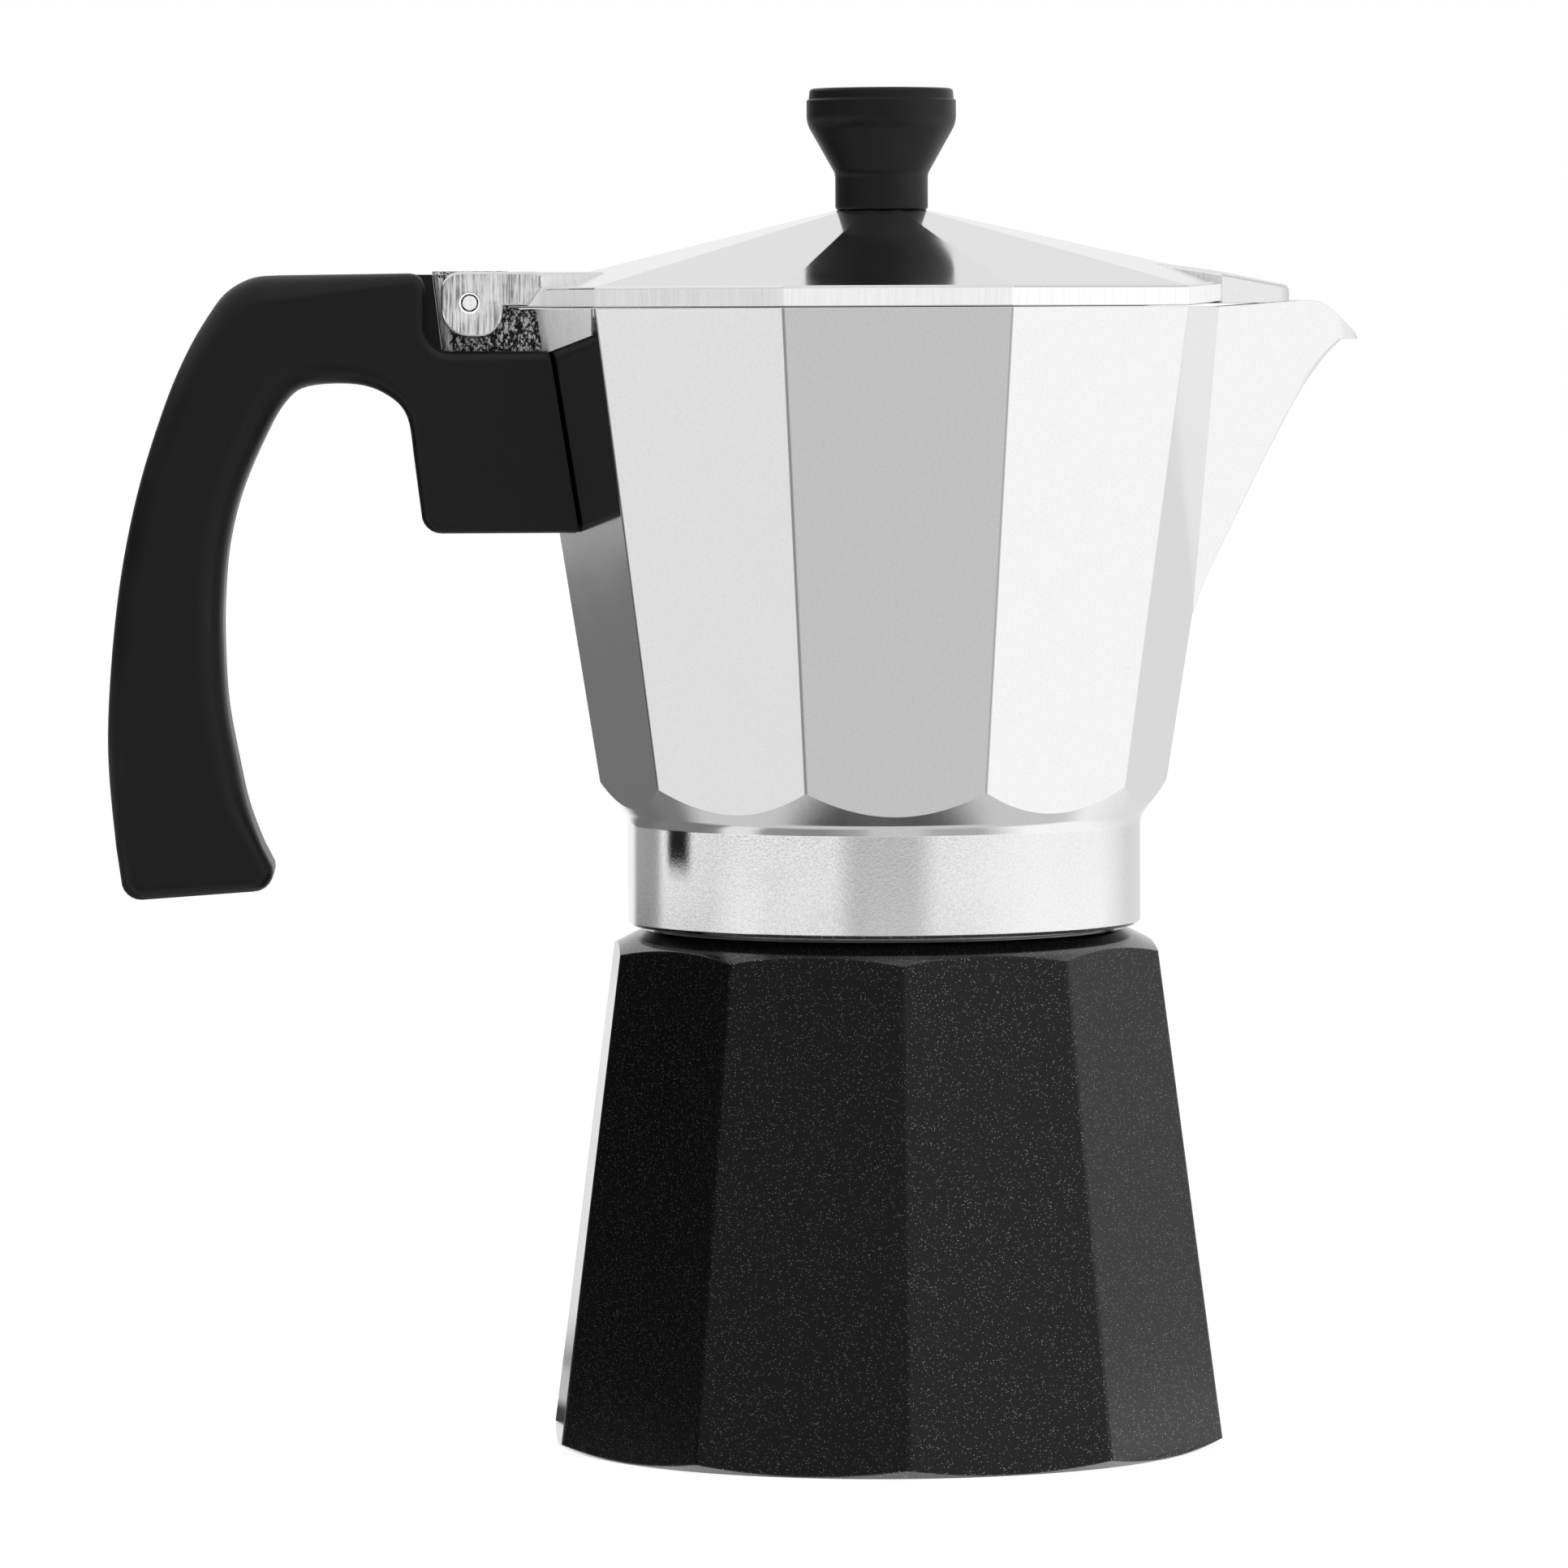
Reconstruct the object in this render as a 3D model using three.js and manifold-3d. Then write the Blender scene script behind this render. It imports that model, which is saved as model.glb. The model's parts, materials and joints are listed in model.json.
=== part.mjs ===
// A ten-sided stovetop coffee maker: a black coated boiler, an aluminium collector with a pouring
// spout, a hinged lid, a hooked handle, and the funnel, filter, gasket and safety valve inside.
// Millimetres, +Z up. The origin is on the pot's axis, on the face that it stands on. The handle
// points to -X and the spout to +X.

import * as THREE from 'three';
import { mergeVertices } from 'three/addons/utils/BufferGeometryUtils.js';
import Module from 'manifold-3d';

// Shape counts and angles
const faceCount = 10;
const largeSides = 48;
const mediumSides = 32;
const smallSides = 16;
const hexSides = 6;
const cornerSteps = 3;
const noseSteps = 5;
const earSteps = 10;
const bevelSteps = 2;
const boilerTurn = THREE.MathUtils.degToRad(0.95);
const earEndAngle = THREE.MathUtils.degToRad(342);
const heelEndAngle = THREE.MathUtils.degToRad(13);

// Clearances
const seatGap = 0.3;
const handleGap = 0.4;
const lidGap = 0.45;
const hingeGap = 0.4;
const threadGap = 0.5;
const collarGap = 0.7;
const funnelGap = 0.6;
const gasketGap = 0.9;
const plungerGap = 0.4;
const cutOverrun = 4;

// Boiler
const boilerSideHeight = 78.6;
const boilerFlare = 10.45;
const boilerWall = 2.8;
const boilerFloor = 3.5;
const boilerRoof = 3.2;
const footWidth = 3.2;
const footRise = 1.7;
const shoulderHeight = 3.3;
const shoulderWidth = 6.45;
const shoulderLedge = 3.1;
const neckRadius = 35.2;
const neckHeight = 11;
const neckWall = 4.4;

// Screw thread between boiler and collector
const threadPitch = 3;
const threadTurns = 2;
const threadDepth = 1;
const threadRootWidth = 1.3;
const threadCrestWidth = 0.7;
const threadTopGap = 2.4;
const threadSink = 0.6;
const threadSteps = 32;
const threadFadeSteps = 4;

// Funnel and its screen
const funnelSheet = 0.9;
const funnelFlange = 2.3;
const basketDepth = 20.5;
const basketTaper = 1.1;
const basketFloorDrop = 6;
const stemRadius = 6.2;
const stemFootGap = 4;
const stemFlare = 0.8;
const stemFlareHeight = 6;
const plateThickness = 0.8;

// Holes in the screen and in the filter plate
const holeRadius = 0.9;
const screenMargin = 8.7;
const filterMargin = 5;
const holeRings = 3;
const holeSides = 5;

// Gasket and filter plate
const gasketOverlap = 3;
const gasketWidth = 5.8;
const gasketThickness = 3;
const gasketChamfer = 0.5;
const filterOverlap = 1.8;

// Collector
const collarWall = 4.1;
const collarRise = 2.9;
const collarFillet = 3;
const underconeStep = 1.7;
const underconeWidth = 2.7;
const underconeHeight = 3.6;
const collectorHeight = 75;
const collectorFlare = 11.8;
const collectorWall = 2.8;
const chamberSheet = 3;
const chamberCorner = 6;
const sealLand = 1.3;
const domeRise = 2.4;

// Spout
const spoutHeight = 49.3;
const spoutHalfWidth = 14;
const spoutLipDrop = 5.3;
const spoutLipLength = 2.6;
const spoutOverhang = 18.7;
const spoutCrest = 0.9;
const spoutCrownLength = 7.5;
const spoutLipFloor = 1.5;
const spoutWall = 2.1;
const keelWall = 3;
const lipWall = 2.4;
const keelHeightShares = [0, 0.145, 0.409, 0.584, 0.761, 0.848, 0.936, 1];
const keelReachShares = [0, 0.097, 0.336, 0.496, 0.668, 0.765, 0.882, 1];
const lipHeightShares = [0.045, 0.4, 0.69, 0.87, 1];
const lipReachShares = [1, 0.75, 0.5, 0.33, 0];
const spoutStartShare = 0.036;
const noseShare = 0.8;
const noseOvershootShare = 0.05;
const channelFootShare = 0.22;

// Column
const columnBore = 4.1;
const columnWall = 1.3;
const columnHeight = 56.8;
const columnRoof = 2;
const columnFlange = 1.2;
const columnFootHeight = 3;
const spigotWall = 2.1;
const windowWidth = 3.6;
const windowHeight = 6;

// Lug and hinge
const lugHalfWidth = 6.6;
const lugRise = 6;
const lugDepth = 13.3;
const lugOverhang = 14.3;
const lugTaper = 2.3;
const lugNose = 7.8;
const pinOverhang = 8.4;
const pinRise = 1;
const pinRadius = 1.4;
const earRadius = 5.4;
const earWall = 3.3;
const earRise = 5.9;
const earRootOverhang = 3.2;
const bridgeInset = 12.6;

// Lid
const lidRimHeight = 2.85;
const lidRimWidth = 2.7;
const lidRise = 12.2;
const lidSheet = 2.4;
const lidApexRadius = 7.1;
const lidLift = 0.9;
const beakHalfWidth = 12.9;
const beakBackHalfWidth = 5;
const beakTipHalfWidth = 6.4;
const beakCorner = 1.5;
const beakRootInset = 4;
const beakOverhang = 7.3;
const beakBackInset = 13.9;
const beakBackRise = 3.6;
const beakTipDrop = 0.1;
const beakCrown = 0.55;

// Knob and its fixing
const knobHeight = 18.9;
const knobRadius = 11.85;
const knobNeckRadius = 7.35;
const knobNeckHeight = 5;
const knobGripHeight = 1.8;
const knobCrownHeight = 1.8;
const knobCrownStep = 0.4;
const knobCorner = 0.5;
const flareHeightShares = [0, 0.1, 0.334, 0.55, 0.735, 1];
const flareRadiusShares = [0, 0.1, 0.42, 0.72, 0.95, 1];
const insertRadius = 2.9;
const insertLength = 8.4;
const knobScrewRadius = 1.4;
const knobScrewDrop = 1.8;
const knobHeadRadius = 3.2;
const knobHeadHeight = 2.2;
const knobWasherRadius = 4.4;
const washerThickness = 0.8;
const headFaceShare = 0.8;
const slotWidthShare = 0.33;

// Handle: its grip runs from the block, where a reach share is 0, out to the widest point
const handleOverhang = 65.9;
const handleRise = 5.7;
const handleHeight = 98.6;
const handleThickness = 21.6;
const handleBevel = 2.3;
const notchGap = 1.1;
const notchDepth = 12.3;
const notchCorner = 4;
const blockHeight = 41;
const blockStep = 0.8;
const blockCorner = 3.2;
const tipCorner = 3.2;
const tipRise = 1.2;
const gripSteps = 22;
const gripOuterShares = [
  [0.444, 0.998], [0.53, 0.994], [0.609, 0.973], [0.666, 0.938], [0.738, 0.877], [0.81, 0.794],
  [0.891, 0.669], [0.946, 0.545], [0.98, 0.42], [0.999, 0.285], [0.996, 0.19], [0.975, 0.085],
];
const tipOuterShare = 0.96;
const tipInnerShare = 0.476;
const gripInnerShares = [
  [0.51, 0.084], [0.555, 0.147], [0.59, 0.23], [0.619, 0.315], [0.629, 0.41], [0.627, 0.482],
  [0.612, 0.565], [0.572, 0.648], [0.503, 0.731], [0.434, 0.793], [0.357, 0.82], [0.201, 0.823],
  [0.1, 0.804], [0.043, 0.771], [0.023, 0.708],
];

// Handle screw
const screwOverhang = 5;
const screwWeb = 11;
const screwPinGap = 2.7;
const handleScrewRadius = 2;
const handleHeadRadius = 3.8;
const handleHeadHeight = 2.8;
const handleWasherRadius = 4.2;

// Safety valve, on a rear face of the boiler
const valveFace = 2;
const valveDrop = 20.6;
const valveHexRadius = 7.5;
const valveHexHeight = 4;
const valveBossRadius = 5.2;
const valveBossHeight = 2.2;
const valveShankRadius = 4.2;
const valveShankLength = 8.4;
const valveWall = 1.3;
const valveSeatRadius = 1.3;
const valveSeatThickness = 2.4;
const valveNutHeight = 3;
const valveCapHeight = 1.4;
const plungerHeadHeight = 1.2;
const plungerStemRadius = 0.9;
const plungerTip = 1.1;
const springTurns = 6;
const springWire = 0.45;
const springSides = 5;
const springSteps = 8;

// Heights that follow, from the foot upwards
const shoulderTop = boilerSideHeight + shoulderHeight;
const neckTop = shoulderTop + neckHeight;
const collarFoot = shoulderTop + collarGap;
const threadFoot = neckTop - threadTopGap - threadPitch * threadTurns;
const funnelTop = neckTop + seatGap + funnelSheet;
const gasketFoot = funnelTop + seatGap;
const filterFoot = gasketFoot + gasketThickness + seatGap;
const sealCeiling = filterFoot + plateThickness + seatGap;
const chamberFloor = sealCeiling + domeRise + chamberSheet;
const underconeFoot = sealCeiling + collarRise;
const collectorFootHeight = underconeFoot + underconeHeight;
const collectorRimHeight = collectorFootHeight + collectorHeight;
const columnTop = chamberFloor + columnHeight;
const spoutFootHeight = collectorRimHeight - spoutHeight;
const spoutLipHeight = collectorRimHeight - spoutLipDrop;
const spoutTop = collectorRimHeight + spoutCrest;
const lugFoot = collectorRimHeight - lugDepth;
const lugTop = collectorRimHeight + lugRise;
const pinHeight = collectorRimHeight + pinRise;
const earTop = collectorRimHeight + earRise;
const lidFoot = collectorRimHeight + lidGap;
const lidRimTop = lidFoot + lidRimHeight;
const lidApexHeight = lidRimTop + lidRise;
const lidUnderApex = lidApexHeight - lidSheet;
const beakBackHeight = lidRimTop + beakBackRise;
const beakTipHeight = lidRimTop - beakTipDrop;
const knobFoot = lidApexHeight + seatGap;
const knobTop = knobFoot + knobHeight;
const handleTop = collectorRimHeight + handleRise;
const handleTip = handleTop - handleHeight;
const notchFloor = handleTop - notchDepth;
const blockBottom = handleTop - blockHeight;
const handleHeadSeat = lugFoot - screwWeb;
const handleScrewTop = pinHeight - screwPinGap;
const valveHeight = boilerSideHeight - valveDrop;

// Radii that follow, from the neck outwards and inwards
const shoulderRadius = neckRadius + shoulderLedge;
const boilerTopCorner = shoulderRadius + shoulderWidth;
const boilerFootCorner = boilerTopCorner + boilerFlare;
const footRadius = boilerFootCorner - footWidth;
const neckBore = neckRadius - neckWall;
const gasketInner = neckBore - gasketOverlap;
const gasketOuter = gasketInner + gasketWidth;
const filterRadius = gasketInner + filterOverlap;
const sealRecess = gasketOuter + gasketGap;
const domeRadius = gasketInner - sealLand;
const socketRadius = neckRadius + threadDepth + threadGap;
const collarRadius = socketRadius + collarWall;
const underconeRadius = collarRadius + underconeStep;
const collectorFootCorner = underconeRadius + underconeWidth;
const collectorRimCorner = collectorFootCorner + collectorFlare;
const columnTopRadius = columnBore + columnWall;
const columnSpigot = columnBore + spigotWall;
const columnFootRadius = columnSpigot + columnFlange;
const valveBoreRadius = valveShankRadius - valveWall;
const plungerHeadRadius = valveBoreRadius - plungerGap;
const springRadius = (plungerStemRadius + valveBoreRadius) / 2;

// Reaches from the axis that follow
const spoutReach = collectorRimCorner + spoutOverhang;
const spoutNeckReach = spoutReach - spoutLipLength;
const spoutCrown = spoutReach - spoutCrownLength;
const beakRoot = collectorRimCorner - beakRootInset;
const beakReach = collectorRimCorner + beakOverhang;
const beakBack = collectorRimCorner - beakBackInset;
const lugOuterTop = collectorRimCorner + lugOverhang;
const lugOuterFoot = lugOuterTop - lugTaper;
const pinReach = collectorRimCorner + pinOverhang;
const earInner = lugHalfWidth + hingeGap;
const earHalfWidth = earInner + earWall;
const earRootReach = collectorRimCorner + earRootOverhang;
const bridgeInner = collectorRimCorner - bridgeInset;
const handleReach = collectorRimCorner + handleOverhang;
const notchReach = lugOuterTop + notchGap;
const blockReach = notchReach + blockStep;
const screwReach = collectorRimCorner + screwOverhang;

// Finishes
const finishes = {
  polished: new THREE.MeshStandardMaterial({ color: 0xd9dadb, roughness: 0.22, metalness: 1 }),
  coated: new THREE.MeshStandardMaterial({ color: 0x1b1b1c, roughness: 0.55, metalness: 0 }),
  plastic: new THREE.MeshStandardMaterial({ color: 0x151516, roughness: 0.5, metalness: 0 }),
  sheet: new THREE.MeshStandardMaterial({ color: 0xc4c6c8, roughness: 0.4, metalness: 1 }),
  brass: new THREE.MeshStandardMaterial({ color: 0xb58b45, roughness: 0.35, metalness: 1 }),
  steel: new THREE.MeshStandardMaterial({ color: 0xb9babc, roughness: 0.3, metalness: 1 }),
  rubber: new THREE.MeshStandardMaterial({ color: 0xe6e3da, roughness: 0.8, metalness: 0 }),
};

const wasm = await Module();
wasm.setup();

// Turns a three.js geometry into a solid: one shared vertex per corner, faces pointing out
function solidFrom(geometry) {
  const bare = geometry.clone();
  bare.deleteAttribute('normal');
  bare.deleteAttribute('uv');
  const merged = mergeVertices(bare);
  const corner = merged.attributes.position;
  const triangles = [];
  let volume = 0;
  const a = new THREE.Vector3();
  const b = new THREE.Vector3();
  const c = new THREE.Vector3();
  for (let i = 0; i < merged.index.count; i += 3) {
    const ids = [0, 1, 2].map((k) => merged.index.getX(i + k));
    if (new Set(ids).size < 3) continue;
    triangles.push(ids);
    a.fromBufferAttribute(corner, ids[0]);
    b.fromBufferAttribute(corner, ids[1]);
    c.fromBufferAttribute(corner, ids[2]);
    volume += a.dot(b.cross(c));
  }
  if (volume < 0) triangles.forEach((ids) => ids.reverse());
  const used = [...new Set(triangles.flat())];
  const place = new Map(used.map((id, i) => [id, i]));
  const vertProperties = new Float32Array(used.length * 3);
  used.forEach((id, i) => a.fromBufferAttribute(corner, id).toArray(vertProperties, i * 3));
  const triVerts = new Uint32Array(triangles.flat().map((id) => place.get(id)));
  return new wasm.Manifold(new wasm.Mesh({ numProp: 3, vertProperties, triVerts }));
}

// Makes the named mesh of a finished solid
function piece(name, solid, finish) {
  const made = solid.getMesh();
  const geometry = new THREE.BufferGeometry();
  geometry.setAttribute('position', new THREE.BufferAttribute(made.vertProperties, 3));
  geometry.setIndex(new THREE.BufferAttribute(made.triVerts, 1));
  geometry.computeVertexNormals();
  const mesh = new THREE.Mesh(geometry, finishes[finish]);
  mesh.name = name;
  return mesh;
}

// Revolves a profile of [radius, height] pairs, which starts and ends on the axis, about Z
function turned(profile, sides) {
  const points = profile.map(([radius, height]) => new THREE.Vector2(radius, height));
  const geometry = new THREE.LatheGeometry(points, sides);
  geometry.rotateX(Math.PI / 2);
  return solidFrom(geometry);
}

// Revolves a profile that closes on itself, away from the axis
function turnedRing(profile, sides) {
  return turned([...profile, profile[0]], sides);
}

function cylinder(radius, low, high, sides) {
  return turned([[0, low], [radius, low], [radius, high], [0, high]], sides);
}

// Joins rings of equally many points into one closed skin, with a fan at each end
function loft(rings) {
  const count = rings[0].length;
  const index = [];
  for (let level = 0; level + 1 < rings.length; level += 1) {
    for (let i = 0; i < count; i += 1) {
      const next = (i + 1) % count;
      const low = level * count;
      const high = low + count;
      index.push(low + i, low + next, high + next, low + i, high + next, high + i);
    }
  }
  const last = (rings.length - 1) * count;
  for (let i = 1; i + 1 < count; i += 1) {
    index.push(0, i + 1, i, last, last + i, last + i + 1);
  }
  const geometry = new THREE.BufferGeometry().setFromPoints(rings.flat());
  geometry.setIndex(index);
  return solidFrom(geometry);
}

// A ten-sided ring of corners, the first one at the angle given by turn
function facetRing(radius, height, turn) {
  return Array.from({ length: faceCount }, (_, i) => {
    const angle = turn + (i * 2 * Math.PI) / faceCount;
    return new THREE.Vector3(radius * Math.cos(angle), radius * Math.sin(angle), height);
  });
}

function faceted(levels, turn) {
  return loft(levels.map(([radius, height]) => facetRing(radius, height, turn)));
}

// A ten-sided skin whose corner on +X stands higher by the third value of each level
function liftedFacets(levels) {
  return loft(levels.map(([radius, height, lift]) => {
    const ring = facetRing(radius, height, 0);
    ring[0].z += lift;
    return ring;
  }));
}

// The value at x on the straight line through two [x, value] points
function along(x, [x0, value0], [x1, value1]) {
  return value0 + ((value1 - value0) * (x - x0)) / (x1 - x0);
}

// Extrudes an outline drawn in the X-Z plane, evenly to both sides of that plane
function sideExtruded(outline, halfWidth, bevel = {}) {
  const shape = new THREE.Shape(outline.map(([x, z]) => new THREE.Vector2(x, z)));
  const flat = { bevelEnabled: false, ...bevel };
  const inset = flat.bevelThickness ?? 0;
  const geometry = new THREE.ExtrudeGeometry(shape, { ...flat, depth: 2 * (halfWidth - inset) });
  geometry.translate(0, 0, inset - halfWidth);
  geometry.rotateX(Math.PI / 2);
  return solidFrom(geometry);
}

function blockBetween(low, high) {
  const size = high.map((value, i) => value - low[i]);
  const geometry = new THREE.BoxGeometry(...size);
  geometry.translate(...low.map((value, i) => value + size[i] / 2));
  return solidFrom(geometry);
}

// A cylinder lying along Y
function crossCylinder(radius, halfLength, x, z) {
  const geometry = new THREE.CylinderGeometry(radius, radius, 2 * halfLength, mediumSides);
  geometry.translate(x, 0, z);
  return solidFrom(geometry);
}

function circlePoints(x, z, radius, from, to, steps) {
  return Array.from({ length: steps + 1 }, (_, i) => {
    const angle = from + ((to - from) * i) / steps;
    return [x + radius * Math.cos(angle), z + radius * Math.sin(angle)];
  });
}

// One helical ridge. side is -1 on the neck, which it grows out of, and 1 in the socket
function threadRidge(rootRadius, foot, side) {
  const steps = threadTurns * threadSteps;
  const rings = [];
  for (let i = 0; i <= steps; i += 1) {
    const angle = (2 * Math.PI * i) / threadSteps;
    const height = foot + (threadPitch * i) / threadSteps;
    const fade = Math.min(1, i / threadFadeSteps, (steps - i) / threadFadeSteps);
    const back = rootRadius + side * threadSink;
    const front = rootRadius - side * threadDepth * fade;
    const section = [
      [back, -threadRootWidth / 2], [front, -threadCrestWidth / 2],
      [front, threadCrestWidth / 2], [back, threadRootWidth / 2],
    ];
    rings.push(section.map(([radius, rise]) => new THREE.Vector3(
      radius * Math.cos(angle), radius * Math.sin(angle), height + rise)));
  }
  return loft(rings);
}

// A round plate with holes in a hexagonal pattern, which leaves the margin free
function perforatedPlate(radius, foot, margin) {
  const pitch = (radius - margin) / holeRings;
  const shape = new THREE.Shape();
  shape.absarc(0, 0, radius, 0, 2 * Math.PI);
  for (let row = -holeRings; row <= holeRings; row += 1) {
    const count = 2 * holeRings + 1 - Math.abs(row);
    for (let i = 0; i < count; i += 1) {
      const hole = new THREE.Path();
      const x = (i - (count - 1) / 2) * pitch;
      const y = (row * pitch * Math.sqrt(3)) / 2;
      hole.setFromPoints(circlePoints(x, y, holeRadius, 0, -2 * Math.PI, holeSides)
        .map(([px, py]) => new THREE.Vector2(px, py)));
      shape.holes.push(hole);
    }
  }
  const options = { depth: plateThickness, bevelEnabled: false, curveSegments: mediumSides };
  const geometry = new THREE.ExtrudeGeometry(shape, options);
  geometry.translate(0, 0, foot);
  return solidFrom(geometry);
}

// Boiler: ten flat faces, cut by a turned chamfer at the foot and at the shoulder
const boilerFootLine = [0, boilerFootCorner];
const boilerSideLine = [boilerSideHeight, boilerTopCorner];

function boilerCorner(height) {
  return along(height, boilerFootLine, boilerSideLine);
}

function boilerSolid() {
  const turn = Math.PI / faceCount + boilerTurn;
  const wide = boilerFootCorner + cutOverrun;
  const chamferOut = along(
    wide, [shoulderRadius, shoulderTop], [boilerTopCorner, boilerSideHeight]);
  const footOut = along(wide, [footRadius, 0], [boilerFootCorner, footRise]);
  const faces = faceted([[boilerCorner(0), 0], [boilerCorner(shoulderTop), shoulderTop]], turn);
  const lathe = turned([
    [0, 0], [footRadius, 0], [wide, footOut], [wide, chamferOut],
    [shoulderRadius, shoulderTop], [0, shoulderTop],
  ], largeSides);
  const neck = cylinder(neckRadius, shoulderTop - boilerRoof, neckTop, largeSides);
  const ridge = threadRidge(neckRadius, threadFoot, -1);
  const wall = boilerWall / Math.cos(Math.PI / faceCount);
  const cavityTop = shoulderTop - boilerRoof;
  const cavity = faceted([
    [boilerCorner(boilerFloor) - wall, boilerFloor], [boilerCorner(cavityTop) - wall, cavityTop],
  ], turn);
  const vaultRadius = boilerTopCorner - wall;
  const vaultFoot = cavityTop - (vaultRadius - neckBore) / 2;
  const vault = turned([
    [0, 0], [wide, 0], [wide, vaultFoot], [vaultRadius, vaultFoot], [neckBore, cavityTop],
    [0, cavityTop],
  ], largeSides);
  const mouth = cylinder(neckBore, cavityTop - cutOverrun, neckTop + cutOverrun, largeSides);
  return faces.intersect(lathe).add(neck).add(ridge)
    .subtract(cavity.intersect(vault)).subtract(mouth);
}

// Funnel: a basket on a flange, with a sloping floor and a long stem
const basketTop = neckBore - funnelGap;
const basketFoot = neckTop + seatGap - basketDepth;
const basketBottomRadius = basketTop - basketTaper;
const stemTop = basketFoot - basketFloorDrop;
const stemFoot = boilerFloor + stemFootGap;

function funnelSolid() {
  const flange = neckTop + seatGap;
  const outer = [
    [basketTop + funnelFlange, funnelTop], [basketTop + funnelFlange, flange], [basketTop, flange],
    [basketBottomRadius, basketFoot], [stemRadius, stemTop],
    [stemRadius, stemFoot + stemFlareHeight], [stemRadius + stemFlare, stemFoot],
  ];
  const inner = [
    [stemRadius + stemFlare - funnelSheet, stemFoot],
    [stemRadius - funnelSheet, stemFoot + stemFlareHeight], [stemRadius - funnelSheet, stemTop],
    [basketBottomRadius - funnelSheet, basketFoot + funnelSheet / 2],
    [basketTop - funnelSheet, funnelTop],
  ];
  return turnedRing([...outer, ...inner], mediumSides);
}

function screenSolid() {
  const radius = basketBottomRadius - funnelSheet - seatGap;
  return perforatedPlate(radius, basketFoot + funnelSheet / 2 + seatGap, screenMargin);
}

function gasketSolid() {
  const top = gasketFoot + gasketThickness;
  return turnedRing([
    [gasketInner, gasketFoot], [gasketOuter - gasketChamfer, gasketFoot],
    [gasketOuter, gasketFoot + gasketChamfer], [gasketOuter, top - gasketChamfer],
    [gasketOuter - gasketChamfer, top], [gasketInner, top],
  ], mediumSides);
}

// Spout: a wedge whose keel runs up and out from the front corner of the collector
const rimLine = [collectorRimHeight, collectorRimCorner];
const footLine = [collectorFootHeight, collectorFootCorner];

function collectorCorner(height) {
  return along(height, footLine, rimLine);
}

function spoutSection(keel, height, inset, back) {
  const grow = (height - spoutFootHeight) / (collectorRimHeight - spoutFootHeight);
  const halfWidth = spoutHalfWidth * grow - inset;
  const slope = Math.tan(Math.PI / faceCount);
  const root = collectorCorner(height) - (halfWidth + inset) * slope;
  const apex = keel + (keel - root) * noseOvershootShare;
  const noseX = root + (apex - root) * noseShare;
  const noseY = halfWidth * (1 - noseShare);
  const half = [[back, halfWidth], [root, halfWidth], [noseX, noseY]];
  const mirrored = half.map(([x, y]) => [x, -y]).reverse();
  return [...half, [keel, 0], ...mirrored].map(([x, y]) => new THREE.Vector3(x, y, height));
}

function keelAt(share) {
  let i = 1;
  while (i + 1 < keelHeightShares.length && keelHeightShares[i] < share) i += 1;
  const line = [i - 1, i].map((k) => [keelHeightShares[k], keelReachShares[k]]);
  const foot = collectorCorner(spoutFootHeight);
  return foot + (spoutNeckReach - foot) * along(share, ...line);
}

function spoutOuter() {
  const back = collectorCorner(spoutFootHeight) - collectorWall;
  const rise = spoutLipHeight - spoutFootHeight;
  const shares = [spoutStartShare, ...keelHeightShares.slice(1)];
  const rings = shares.map((share) => spoutSection(
    keelAt(share), spoutFootHeight + rise * share, 0, back));
  const above = spoutReach + cutOverrun;
  rings.push(spoutSection(spoutReach, spoutLipHeight + seatGap / 2, 0, back));
  rings.push(spoutSection(above, spoutTop + cutOverrun, 0, back));
  const drop = spoutTop - spoutLipHeight;
  const lip = lipHeightShares.map((share, i) => [
    spoutCrown + (spoutReach - spoutCrown) * lipReachShares[i], spoutLipHeight + drop * share,
  ]);
  const side = sideExtruded([
    [back, spoutFootHeight], [above, spoutFootHeight], [above, spoutLipHeight],
    [spoutReach, spoutLipHeight], ...lip, [beakRoot, collectorRimHeight],
    [back, collectorRimHeight],
  ], spoutHalfWidth + cutOverrun);
  return loft(rings).intersect(side);
}

function spoutChannel() {
  const back = collectorCorner(spoutFootHeight) - 2 * collectorWall - cutOverrun;
  const rise = spoutLipHeight - spoutFootHeight;
  const upper = keelHeightShares.filter((share) => share > channelFootShare);
  const shares = [channelFootShare, ...upper];
  const rings = shares.map((share) => spoutSection(
    keelAt(share) - keelWall, spoutFootHeight + rise * share, spoutWall, back));
  const lipFloor = spoutLipHeight + spoutLipFloor;
  rings.push(spoutSection(spoutReach - lipWall, lipFloor, spoutWall, back));
  rings.push(spoutSection(spoutReach - lipWall, spoutTop + cutOverrun, spoutWall, back));
  return loft(rings);
}

// Lug: the cast block at the back corner that carries the lid's pin and the handle's screw
const lugBack = collectorCorner(lugFoot) - collectorWall;

function lugOutline(grow) {
  const radius = lugNose + grow;
  const from = -Math.asin((pinHeight - collectorRimHeight) / radius);
  const to = Math.asin((lugTop + grow - pinHeight) / radius);
  const nose = circlePoints(-pinReach, pinHeight, radius, from, to, noseSteps);
  const low = along(lugFoot - grow, [lugFoot, lugOuterFoot], [lugTop, lugOuterTop]);
  return [
    [-lugBack, lugFoot - grow], [-lugBack, collectorRimHeight], ...nose,
    [-lugOuterTop - grow, lugTop + grow], [-low - grow, lugFoot - grow],
  ];
}

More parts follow.
